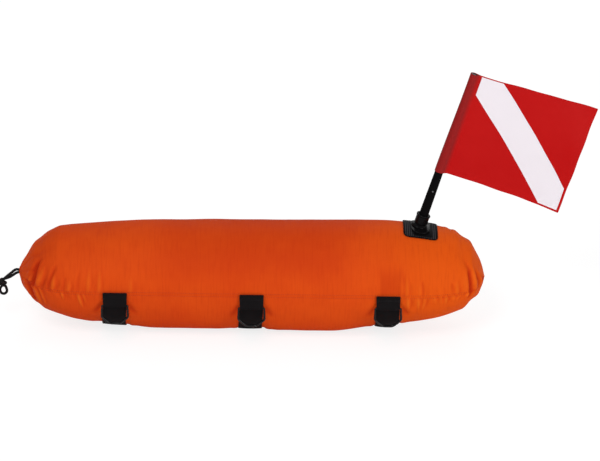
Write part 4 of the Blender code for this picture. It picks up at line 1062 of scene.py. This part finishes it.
def sheetMesh(columns, rows, place, flat, shift=(0.0, 0.0)):  # grid whose points place(u, v) moves
    bm = bmesh.new()
    bmesh.ops.create_grid(bm, x_segments=columns, y_segments=rows, size=0.5)
    layer = bm.loops.layers.uv.new("UVMap")
    shares = {vert: (vert.co.x + 0.5, vert.co.y + 0.5) for vert in bm.verts}
    for face in bm.faces:
        for loop in face.loops:
            u, v = shares[loop.vert]
            loop[layer].uv = (u * flat[0] + shift[0], v * flat[1] + shift[1])
    for vert, (u, v) in shares.items():
        vert.co = place(u, v)
    return bm


def keeperLine(x, side):
    gap, thick = body["gap"], strapSizes["keeper"]
    innerLift = gap + strapSizes["thick"] + gap + thick / 2
    outerLift = innerLift + thick + gap
    eye = strapSizes["wire"] + gap + thick / 2
    bar = strapSizes["bar"]
    centre = onBody(x, side * bar, innerLift + eye)
    out = (centre - onBody(x, side * bar)).normalized()
    down = Vector((0.0, -side * out.z, side * out.y))
    line = [onBody(x, side * turn, innerLift) for turn in spaced(strapSizes["top"], bar - 1.0, 3)]
    for turn in spaced(0.0, 200.0, 16):
        angle = math.radians(turn)
        line.append(centre + (down * math.sin(angle) - out * math.cos(angle)) * eye)
    line += [onBody(x, side * turn, outerLift) for turn in (strapSizes["taper"], strapSizes["top"])]
    return centre, line, outerLift


def roundedLine(corners, steps):
    outline = []
    for i, (point, radius) in enumerate(corners):
        here = Vector(point)
        back = (Vector(corners[i - 1][0]) - here).normalized()
        onward = (Vector(corners[(i + 1) % len(corners)][0]) - here).normalized()
        half = back.angle(onward) / 2
        middle = here + (back + onward).normalized() * (radius / math.sin(half))
        start = here + back * (radius / math.tan(half)) - middle
        end = here + onward * (radius / math.tan(half)) - middle
        sweep = start.angle(end)
        for t in spaced(0.0, 1.0, steps):
            spoke = start * math.sin((1 - t) * sweep) + end * math.sin(t * sweep)
            outline.append(middle + spoke / math.sin(sweep))
    return outline


def makeRing(suffix, centre):
    wire, thick = strapSizes["wire"], strapSizes["thickWire"]
    barHalf = strapSizes["width"] / 2 + body["gap"] + wire
    lowHalf = barHalf + thick - wire
    side, foot, drop = strapSizes["side"], strapSizes["foot"], strapSizes["drop"]
    corners = [((-barHalf, 0.0), wire), ((barHalf, 0.0), wire), ((lowHalf, -side), 0.006)]
    corners += [((foot, -drop), 0.012), ((-foot, -drop), 0.012), ((-lowHalf, -side), 0.006)]
    route = [centre + Vector((point.x, 0.0, point.y)) for point in roundedLine(corners, 10)]
    girths = [1.0 + (thick / wire - 1.0) * ease(centre.z - point.z, 0.0015, 0.0060) for point in route]
    bm = rodMesh(route, wire, closed=True, girths=girths)
    name = "ring" + "".join(word.capitalize() for word in suffix.split("_"))
    addPiece(name, bm, "ring", "d_ring_" + suffix, "ring_" + suffix)


def keeperStitches(x, side, outer):  # two rows across the loop, its two edges, and the fold at its top
    half = strapSizes["width"] / 2
    lift = outer + strapSizes["keeper"] / 2 + 0.0001
    across, down, fold = (1.0, 0.0, 0.0), (0.0, 0.0, 1.0), (0.0, 0.15, 1.0)
    row = spaced(-half + 0.0022, half - 0.0022, 12)
    spots = []
    for turns, sides, way, long in (
            ((92.2, 93.6), row, across, 0.0011), (spaced(92.2, 95.4, 3), (row[0], row[-1]), down, 0.0009)):
        for turn in turns:
            for aside in sides:
                spot = onBody(x + aside, side * turn, lift)
                spots.append((spot, way, (0.00032, 0.00032, long)))
    for aside in spaced(-half + 0.0012, half - 0.0012, 14):
        spot = onBody(x + aside, side * (strapSizes["top"] - 0.15), outer - 0.0002)
        spots.append((spot, fold, (0.00060, 0.00060, 0.0011)))
    return spots


def makeStraps():
    half = strapSizes["width"] / 2
    lift = body["gap"] + strapSizes["thick"] / 2
    arc = math.radians(360.0 - 2 * strapSizes["top"]) * body["radius"]
    for label, x in straps.items():
        def placeStrap(u, v):
            turn = strapSizes["top"] + (360.0 - 2 * strapSizes["top"]) * v
            under = ease(abs(turn - 180.0), 80.0, 35.0)
            bulge = 1.0 - (2 * u - 1) ** 2
            point = onBody(x - half + 2 * half * u, turn, lift + strapSizes["slack"][label] * under * bulge)
            point.x += 0.00018 * math.sin(v * 260.0 + x * 90.0) * abs(2 * u - 1) ** 3
            point.x += strapSizes["askew"][label] * under
            point.z = max(point.z, strapSizes["thick"] / 2)
            return point
        bm = sheetMesh(12, 180, placeStrap, (2 * half, arc))
        name = label.capitalize()
        addPiece("strap" + name, bm, "webbing", "belly_strap_" + label, wall=strapSizes["thick"])
        spots = []
        for sideName, side in (("Front", 1.0), ("Rear", -1.0)):
            centre, line, outer = keeperLine(x, side)
            line = smoothRoute(line, 0.0009)
            lengths = runLengths(line)

            def placeKeeper(u, v):
                point = pointAt(line, lengths, v)
                end = abs(2 * v - 1)
                drawn = strapSizes["sewn"] * end - strapSizes["drawn"] * (1.0 - end) ** 2
                curl = 0.00015 * math.sin(u * 30.0 + v * 9.0)
                return Vector((x + (half + drawn) * (2 * u - 1), point.y, point.z + curl))
            bm = sheetMesh(14, 60, placeKeeper, (2 * half, 0.060), (0.0, 0.013))
            suffix = label + "_" + sideName.lower()
            node = "ring_keeper_" + suffix
            addPiece("ringLoop" + name + sideName, bm, "webbing", node, wall=strapSizes["keeper"])
            makeRing(suffix, centre)
            spots += keeperStitches(x, side, outer)
        stitchRun("strapStitches" + name, spots, "blackThread")


makeStraps()
print("straps and rings made")


# mast, its socket and its patch

def softened(profile, radius, steps=3):  # rounds each corner of a turned outline that is off the axis
    points = []
    for index, here in enumerate(profile):
        corner = Vector(here)
        back = Vector(profile[index - 1]) - corner
        onward = Vector(profile[(index + 1) % len(profile)]) - corner
        if corner.x < 1e-6 or abs(back.angle(onward) - math.pi) < 0.1:
            points.append(tuple(corner))
            continue
        reach = min(radius, 0.45 * back.length, 0.45 * onward.length)
        start = corner + back.normalized() * reach
        end = corner + onward.normalized() * reach
        for t in spaced(0.0, 1.0, steps):
            points.append(tuple(start.lerp(corner, t).lerp(corner.lerp(end, t), t)))
    return points


def makePatch():
    size = mastSizes["patch"]
    length, width = size
    corner, thick = mastSizes["corner"], mastSizes["patchThick"]
    bead = {"inset": 0.0011, "wide": 0.0010, "high": 0.00045}

    def patchSpot(u, v):  # along, across, distance inside the outline, and how ribbed
        a = (u - 0.5) * length
        side = 2 * v - 1
        b = padReach(a, size, corner) * math.copysign(1.0 - max(0.0, 1.0 - abs(side)) ** 1.8, side)
        inward = padInward(a, b, size, corner)
        seat = padInward(a - mastSizes["seatShift"], b, mastSizes["seat"], 0.004)
        return a, b, inward, ease(inward, 0.0020, 0.0030) * (1.0 - ease(seat, -0.0006, 0.0004))

    def placePatch(u, v):
        a, b, inward, ribbed = patchSpot(u, v)
        rise = bead["high"] * bell(inward - bead["inset"], bead["wide"])
        rise -= 0.0005 * (1.0 - ease(inward, 0.0, 0.0006))
        rise += ribbed * (0.0002 * math.sin(a * math.tau / mastSizes["rib"]) - 0.00025)
        turn = arcDegrees(b + mastSizes["patchTurn"] * a)
        return onBody(mastSizes["patchPlace"] + a, turn, body["gap"] + thick + rise)
    bm = sheetMesh(190, 44, placePatch, size)
    mark = bm.verts.layers.float.new("inside")
    uv = bm.loops.layers.uv.verify()
    for vert in bm.verts:
        spot = vert.link_loops[0][uv].uv
        vert[mark] = patchSpot(spot.x / length, spot.y / width)[3]
    faceTowards(bm, Vector((0.0, 0.0, 1.0)))
    addPiece("mastPatch", bm, "patch", "mast_patch", turned=False, wall=thick, offset=-1.0)


def makePlate(low, high):  # a pad between two heights over the body, its top edge rounded
    size, corner, edge = mastSizes["base"], mastSizes["baseCorner"], mastSizes["baseEdge"]
    bm = sheetMesh(60, 60, lambda u, v: Vector((u, v, 0.0)), size)
    flat = list(bm.faces)
    bmesh.ops.extrude_face_region(bm, geom=flat, use_keep_orig=True)
    lower = {vert for face in flat for vert in face.verts}

    def crowded(share):  # from -1 to 1, closer together at both ends
        far = abs(2 * share - 1)
        return math.copysign(far if far < 1e-9 else 1.0 - (1.0 - far) ** 1.7, share - 0.5)
    for vert in bm.verts:
        a = crowded(vert.co.x) * size[0] / 2
        b = crowded(vert.co.y) * padReach(a, size, corner)
        inward = padInward(a, b, size, corner)
        drop = edge - math.sqrt(max(0.0, edge * edge - max(0.0, edge - inward) ** 2))
        lift = low if vert in lower else high - drop
        vert.co = onBody(mastSizes["place"] + mastSizes["baseShift"] + a, arcDegrees(b), lift)
    addPiece("mastPlate", bm, "glossPlastic", "mast_base", sharp=50.0)


def mastFrame():  # from the mast's foot: X towards the fly of its flag, Z up the mast
    lean = math.radians(mastSizes["lean"])
    way = Vector((math.sin(lean), 0.0, math.cos(lean)))
    fly = Vector((math.cos(lean), 0.0, -math.sin(lean)))
    foot = onBody(mastSizes["place"], 0.0, body["gap"] + mastSizes["patchThick"])
    return Matrix.Translation(foot) @ Matrix((fly, Vector((0.0, 1.0, 0.0)), way)).transposed().to_4x4()


def makeMast():
    gap = body["gap"]
    place = mastFrame()
    foot, way = place.to_translation(), place.col[2].to_3d()
    up = bodyNormal(mastSizes["place"], 0.0)
    thick = mastSizes["baseThick"]
    seat = gap + mastSizes["patchThick"] + gap
    makePlate(seat, seat + thick)
    bore = mastSizes["footRadius"] + 0.0005
    socket = bore + mastSizes["socketWall"]
    flare, flareHigh = mastSizes["flare"], mastSizes["flareHigh"]
    stem = [(bore, mastSizes["foot"]), (bore, mastSizes["socketTop"]), (socket, mastSizes["socketTop"])]
    stem += [(socket, flareHigh + 0.0015), (socket + 0.001, flareHigh + 0.0006)]
    stem += [(flare - 0.0008, flareHigh - 0.0016), (flare, flareHigh - 0.0026)]
    stem += [(flare, -0.001), (bore, -0.001)]
    bm = turnedMesh(softened(stem, 0.0011), foot, way, 96)
    middle = gap + thick / 2
    for vert in bm.verts:  # the flare's foot sinks into the plate and follows it round the body
        rise = (vert.co - foot).dot(up) + vert.co.y ** 2 / (2 * body["radius"])
        if rise < middle:
            vert.co += up * (middle - rise)
    addPiece("mastSocket", bm, "glossPlastic", sharp=50.0)

    inner = socket + gap
    outer = inner + mastSizes["collarWall"]
    lip = outer + mastSizes["collarLip"]
    top = mastSizes["collarTop"]
    lipFoot = top - mastSizes["lipHigh"]
    underLip = mastSizes["socketTop"] + gap + mastSizes["gripHigh"] + gap
    collar = [(inner, mastSizes["collarFoot"]), (outer, mastSizes["collarFoot"]), (outer, lipFoot)]
    collar += [(lip, lipFoot + mastSizes["collarLip"]), (lip, top - 0.0008), (lip - 0.0008, top)]
    collar += [(bore, top), (bore, underLip), (inner, underLip)]
    bm = turnedMesh(softened(collar, 0.0005), foot, way, 96, (outer - 0.0004, *mastSizes["flutes"]))
    addPiece("mastCollar", bm, "glossPlastic", "mast_collar", "collar", sharp=50.0)

    plug = mastSizes["tubeRadius"] - mastSizes["tubeWall"] - gap
    rim = mastSizes["tubeRadius"] - 0.0001
    plugFoot, top = mastSizes["top"] - 0.010, mastSizes["top"] + gap
    cap = [(0.0, plugFoot), (plug, plugFoot), (plug, top), (rim, top), (rim, top + 0.0018)]
    cap += [(rim - 0.0015, top + 0.0026), (0.0, top + 0.0026)]
    bm = turnedMesh(softened(cap, 0.0007), foot, way, 64)
    addPiece("mastCap", bm, "glossPlastic", "mast_tip_cap", "mast", sharp=50.0)


makePatch()
makeMast()
print("patch, socket and collar made")


# flag

flag = {
    "foot": 0.112, "hoist": 0.193, "fly": 0.241, "thick": 0.0008, "weld": 0.013, "bow": 0.004, "lap": 0.0065,
    "hoistSide": 0.0019, "flySide": 0.005, "topSide": 0.0018, "footSide": 0.0036, "band": 0.053,
    "bandRise": 0.0040, "bandThick": 0.0003, "topRadius": 0.0066, "twist": (-0.0175, 0.0125),
    "flyTrim": 0.0070, "sag": 0.0030, "topRise": 0.0016, "sleeveMark": (0.0068, 0.0086),
}


def flagWave(u, height):
    share = max(0.0, (u - flag["weld"]) / (flag["fly"] - flag["weld"]))
    up = (height - flag["foot"]) / flag["hoist"]
    bow = flag["bow"] * math.sin(math.pi * share * 1.15) * share ** 0.5
    edge = (2 * up - 1) ** 2
    free = ease(share, 0.02, 0.35)
    wave = 0.0011 * edge * math.sin(share * 13.0 + 3.1 * up) + 0.0006 * math.sin(share * 7.0 - 4.0 * up)
    wave += 0.0014 * ease(share, 0.8, 1.0) * math.sin(up * 9.0 + 0.6)
    low, high = flag["twist"]
    return bow + wave * free + (low + (high - low) * up) * share ** 1.6


def flagHeight(along, v):
    return flag["foot"] + flag["hoist"] * v + flag["topRise"] * v + 0.0003 * math.sin(along * 95.0)


def flagSpot(along, height, lift=0.0):  # a spot beyond the weld: the lower fly corner is cut short and hangs
    v = (height - flag["foot"]) / flag["hoist"]
    end = flag["fly"] - mastSizes["neckRadius"]
    trim = (0.0004 * math.sin(v * 21.0) - flag["flyTrim"] * (1.0 - v)) * ease(along, 0.05, end)
    sag = flag["sag"] * (ease(along, 0.02, 0.17) + ease(along, 0.185, end)) * (1.0 - v) ** 1.5
    return Vector((along + trim, flagWave(along, height) + lift, flagHeight(along, v) - sag))


def makeFlag():
    inner = mastSizes["neckRadius"] + 0.0005
    half = flag["thick"] / 2
    place = mastFrame()
    flyEnd = flag["fly"] - inner - flag["thick"]

    def sleeveSpot(share, radius):
        lean = math.acos(radius / flag["weld"])
        turn = lean + share * (math.tau - 2 * lean)
        return radius * math.cos(turn), radius * math.sin(turn)
    # the lap behind the cloth, round the mast, then out to the fly: along, aside, share of the way round
    line = [(u, 2 * half + 0.0001, None) for u in spaced(flag["weld"] + flag["lap"], flag["weld"], 6)]
    line += [(*sleeveSpot(share, inner + half), share) for share in spaced(0.0, 1.0, 40)]
    line += [(u, 0.0, None) for u in spaced(flag["weld"], flyEnd, 110)]
    width = 0.0
    for (a, aside, before), (b, bside, after) in zip(line, line[1:]):
        width += math.hypot(b - a, (0.0 if after is None else bside) - (0.0 if before is None else aside))
    columns = len(line) - 1

    def placeFlag(u, v):
        along, aside, share = line[round(u * columns)]
        if share is None:
            return place @ flagSpot(along, flag["foot"] + flag["hoist"] * v, aside)
        radius = inner + half + (flag["topRadius"] - inner - half) * ease(v, 0.05, 0.9)
        along, aside = sleeveSpot(share, radius)
        return place @ Vector((along, aside, flagHeight(along, v)))
    bm = sheetMesh(columns, 90, placeFlag, (width, flag["hoist"]))
    # marks the sleeve round the mast for its painted shade
    mark = bm.verts.layers.float.new("sleeve")
    uv = bm.loops.layers.uv.verify()
    for vert in bm.verts:
        along, _, share = line[round(vert.link_loops[0][uv].uv.x / width * columns)]
        vert[mark] = 0.0 if share is None else 1.0 - ease(along, *flag["sleeveMark"])
    piece = addPiece("flagCloth", bm, "flag", "flag_sheet", "flag", wall=flag["thick"])
    stripes = [makeStripe(name, way, place, flyEnd) for name, way in (("Front", -1.0), ("Rear", 1.0))]


def makeStripe(name, way, place, flyEnd):
    low = flag["foot"] + flag["footSide"]
    high = flag["foot"] + flag["hoist"] - flag["topSide"]
    first = flag["weld"] + flag["hoistSide"]
    hoist = first + (flag["lap"] if way > 0 else 0.0)
    fly = flyEnd - flag["flySide"]
    slope = (high - low - flag["bandRise"]) / (fly - first)
    upright = flag["band"] / 2 * math.hypot(1.0, slope)
    topEnd = first + upright / slope
    lowEnd = first + (high - low - upright) / slope
    spots = spaced(hoist, topEnd, 12) + spaced(topEnd, lowEnd, 60)[1:] + spaced(lowEnd, fly, 12)[1:]
    count = len(spots) - 1
    lift = flag["thick"] / 2 + 0.00025 + flag["bandThick"] / 2

    def placeStripe(u, v):
        along = spots[round(u * count)]
        middle = high - slope * (along - first)
        bottom, top = max(low, middle - upright), min(high, middle + upright)
        return place @ flagSpot(along, bottom + (top - bottom) * v, way * lift)
    bm = sheetMesh(count, 30, placeStripe, (0.22, 0.10))
    node = "flag_stripe_" + name.lower()
    return addPiece("flagStripe" + name, bm, "stripe", node, "flag", wall=flag["bandThick"])


makeFlag()
print("flag made")


# bladder, bindings, ballast pocket and zip

inside = {
    "lining": 0.0016, "wall": 0.0006, "nose": 0.0255, "tail": 0.0150, "tip": 0.034, "binding": 0.014,
    "bindingThick": 0.0010, "tapeThick": 0.0005, "ballast": (noseX + 0.305, 0.160), "ballastDeg": 11.0,
    "ballastThick": 0.0040, "pocket": 0.0008, "margin": 0.006,
}


def foldDepth(x):  # the bladder stays under the creases at both tips
    nose = 0.0052 * (1.0 - ease(x - noseX, 0.03, 0.17))
    return nose + 0.0054 * ease(x, tailX - 0.14, tailX - 0.03)


def makeBladder():
    ballastX, ballastLength = inside["ballast"]
    tip = inside["tip"]
    low, high = noseX + inside["nose"], tailX - inside["tail"]

    def place(x, turn):  # deeper at the tips, under the seam tapes and over the ballast
        seamGap = min(turnFrom(turn, 90.0), turnFrom(turn, 270.0))
        over = 1.0 - ease(abs(x - ballastX) - ballastLength / 2, 0.0, 0.05)
        deep = inside["lining"] + 0.0022 + foldDepth(x) + 0.0022 * (1.0 - ease(seamGap, 5.0, 11.0))
        deep += 0.0062 * over * (1.0 - ease(turnFrom(turn, 180.0), 14.0, 30.0))
        end = min(1.0, (x - low) / tip, (high - x) / tip)
        full = math.sqrt(max(0.0, 1.0 - (1.0 - end) ** 2))
        point = onBody(x, turn, -deep + 0.0007 * roundNoise(x, turn, 30.0, 5.0))
        return Vector((x, 0.0, body["axis"])).lerp(point, full), 0.0
    tips = [0.0, 0.0003, 0.001, 0.0022, 0.004, 0.0065, 0.010, 0.0145, 0.020, 0.027, tip]
    stations = [low + step for step in tips] + spaced(low + tip, high - tip, 150)[1:-1]
    stations += [high - step for step in reversed(tips)]
    bm = shellMesh(stations, 0.0, 360.0, 144, place)
    openForValve(bm)
    piece = addPiece("airBladder", bm, "bladder", "bladder", wall=inside["wall"], offset=-1.0)


def makeBindings():
    low = -(inside["lining"] + inside["bindingThick"] / 2 + 0.0001)
    half = arcDegrees(inside["binding"] / 2)
    first, last = noseX + 0.076, tailX - 0.076
    for name, middle in (("Front", 90.0), ("Rear", 270.0)):
        def place(u, v):
            x = first + (last - first) * u
            bead = 0.00022 * math.cos((2 * v - 1) * math.pi * 3) + 0.00012 * math.sin(x * 190.0 + v * 5.0)
            return onBody(x, middle + half * (2 * v - 1), low - abs(bead))
        bm = sheetMesh(260, 12, place, (last - first, inside["binding"]))
        bm.verts.layers.float.new("paintedShadeAndHighlight")
        addPiece("seamTape" + name, bm, "binding", "seam_binding_" + name.lower(), wall=inside["tapeThick"])


def makePocket():
    ballastX, ballastLength = inside["ballast"]
    thick, halfDeg = inside["pocket"], inside["ballastDeg"]
    roof = -inside["lining"] - inside["ballastThick"] - body["gap"] - thick
    hem = -inside["lining"] - thick / 2
    edge = arcDegrees(inside["margin"])
    first = ballastX - ballastLength / 2

    def place(u, v):
        turn = 180.0 + (halfDeg + edge) * (2 * v - 1)
        beyond = (abs(turn - 180.0) - halfDeg) / edge
        lift = roof + (hem - roof) * ease(beyond, 0.20, 0.45)
        ripple = 0.00025 * math.sin(u * 60.0 + v * 9.0) * (1.0 - ease(beyond, 0.2, 0.4))
        return onBody(first + ballastLength * u, turn, lift - abs(ripple))
    bm = sheetMesh(80, 50, place, (ballastLength, 0.05))
    bm.verts.layers.float.new("paintedShadeAndHighlight")
    addPiece("ballastPouch", bm, "binding", "ballast_pocket", wall=thick)


def zipShift(x):  # keeps the zip straight along the body
    sliderX = zipSizes["place"] + zipSizes["length"] / 2 - zipSizes["stop"] - zipSizes["slider"]
    origin = onBody(sliderX, zipSizes["angle"])
    out = (onBody(sliderX, zipSizes["angle"], 1.0) - origin).normalized()
    down = out.cross(Vector((1.0, 0.0, 0.0)))
    shift = 0.0
    for _ in range(4):
        shift += arcDegrees((onBody(x, zipSizes["angle"] + shift) - origin).dot(down))
    return shift


def makeZip():
    gap = body["gap"]
    start = zipSizes["place"] - zipSizes["length"] / 2
    end = start + zipSizes["length"]
    coil, stop, pitch = zipSizes["coil"], zipSizes["stop"], zipSizes["tooth"]
    coilAside = gap / 2 + coil / 2
    tapeEdge = gap / 2 + coil + gap
    tracks = [zipShift(x) for x in spaced(start, end, 200)]
    forward = Vector((1.0, 0.0, 0.0))

    def turnAt(x, aside):
        share = min(len(tracks) - 1.001, max(0.0, (x - start) / (end - start) * (len(tracks) - 1)))
        index = int(share)
        shift = tracks[index] * (index + 1 - share) + tracks[index + 1] * (share - index)
        return zipSizes["angle"] + shift - arcDegrees(aside)
    for name, way in (("Upper", -1.0), ("Lower", 1.0)):
        def placeTape(u, v):
            x = start + (end - start) * u
            waver = 0.00012 * math.sin(x * 170.0 + way) * v
            turn = turnAt(x, way * (tapeEdge + zipSizes["tape"] * v))
            return onBody(x, turn, gap + zipSizes["thick"] / 2 + abs(waver))
        bm = sheetMesh(170, 10, placeTape, (end - start, zipSizes["tape"]))
        addPiece("zipTape" + name, bm, "zipTape", "zip_tape_" + name.lower(), wall=zipSizes["thick"])
        bm = bmesh.new()
        x = start + stop + pitch * (0.5 if way > 0 else 1.0)
        while x < end - stop - pitch * 0.6:
            turn = turnAt(x, way * coilAside)
            out = (onBody(x, turn, 1.0) - onBody(x, turn)).normalized()
            axes = Matrix((forward, out.cross(forward), out)).transposed().to_4x4()
            place = Matrix.Translation(onBody(x, turn, gap + zipSizes["coilHigh"])) @ axes
            addBead(bm, place, (pitch * 0.40, coil * 0.5, 0.00085))
            x += pitch
        addPiece("zipTeeth" + name, bm, "plastic", "zip_coil_" + name.lower())


makeBladder()
makeBindings()
makePocket()
makeZip()
print("bladder, bindings, pocket and zip made")


# finishes of the parts that stay as they are

kept = {
    "nose_toggle": "plastic", "ballast_plate": "lead", "zip_stop_nose": "metal",
    "zip_stop_tail": "metal", "zip_slider": "metal", "zip_pull": "metal", "valve_body": "plastic",
    "valve_flap": "rubber", "valve_collar": "rubber", "valve_washer": "rubber", "valve_cap": "plastic",
    "grip_ring": "rubber", "mast_lower": "mast", "mast_upper": "mast",
    "snap_button": "buttonMetal", "button_spring": "metal",
}
for node, finish in kept.items():
    for slot in bpy.data.objects[node].material_slots:
        slot.material = finishes[finish]
print("finishes given to", len(kept), "more parts")
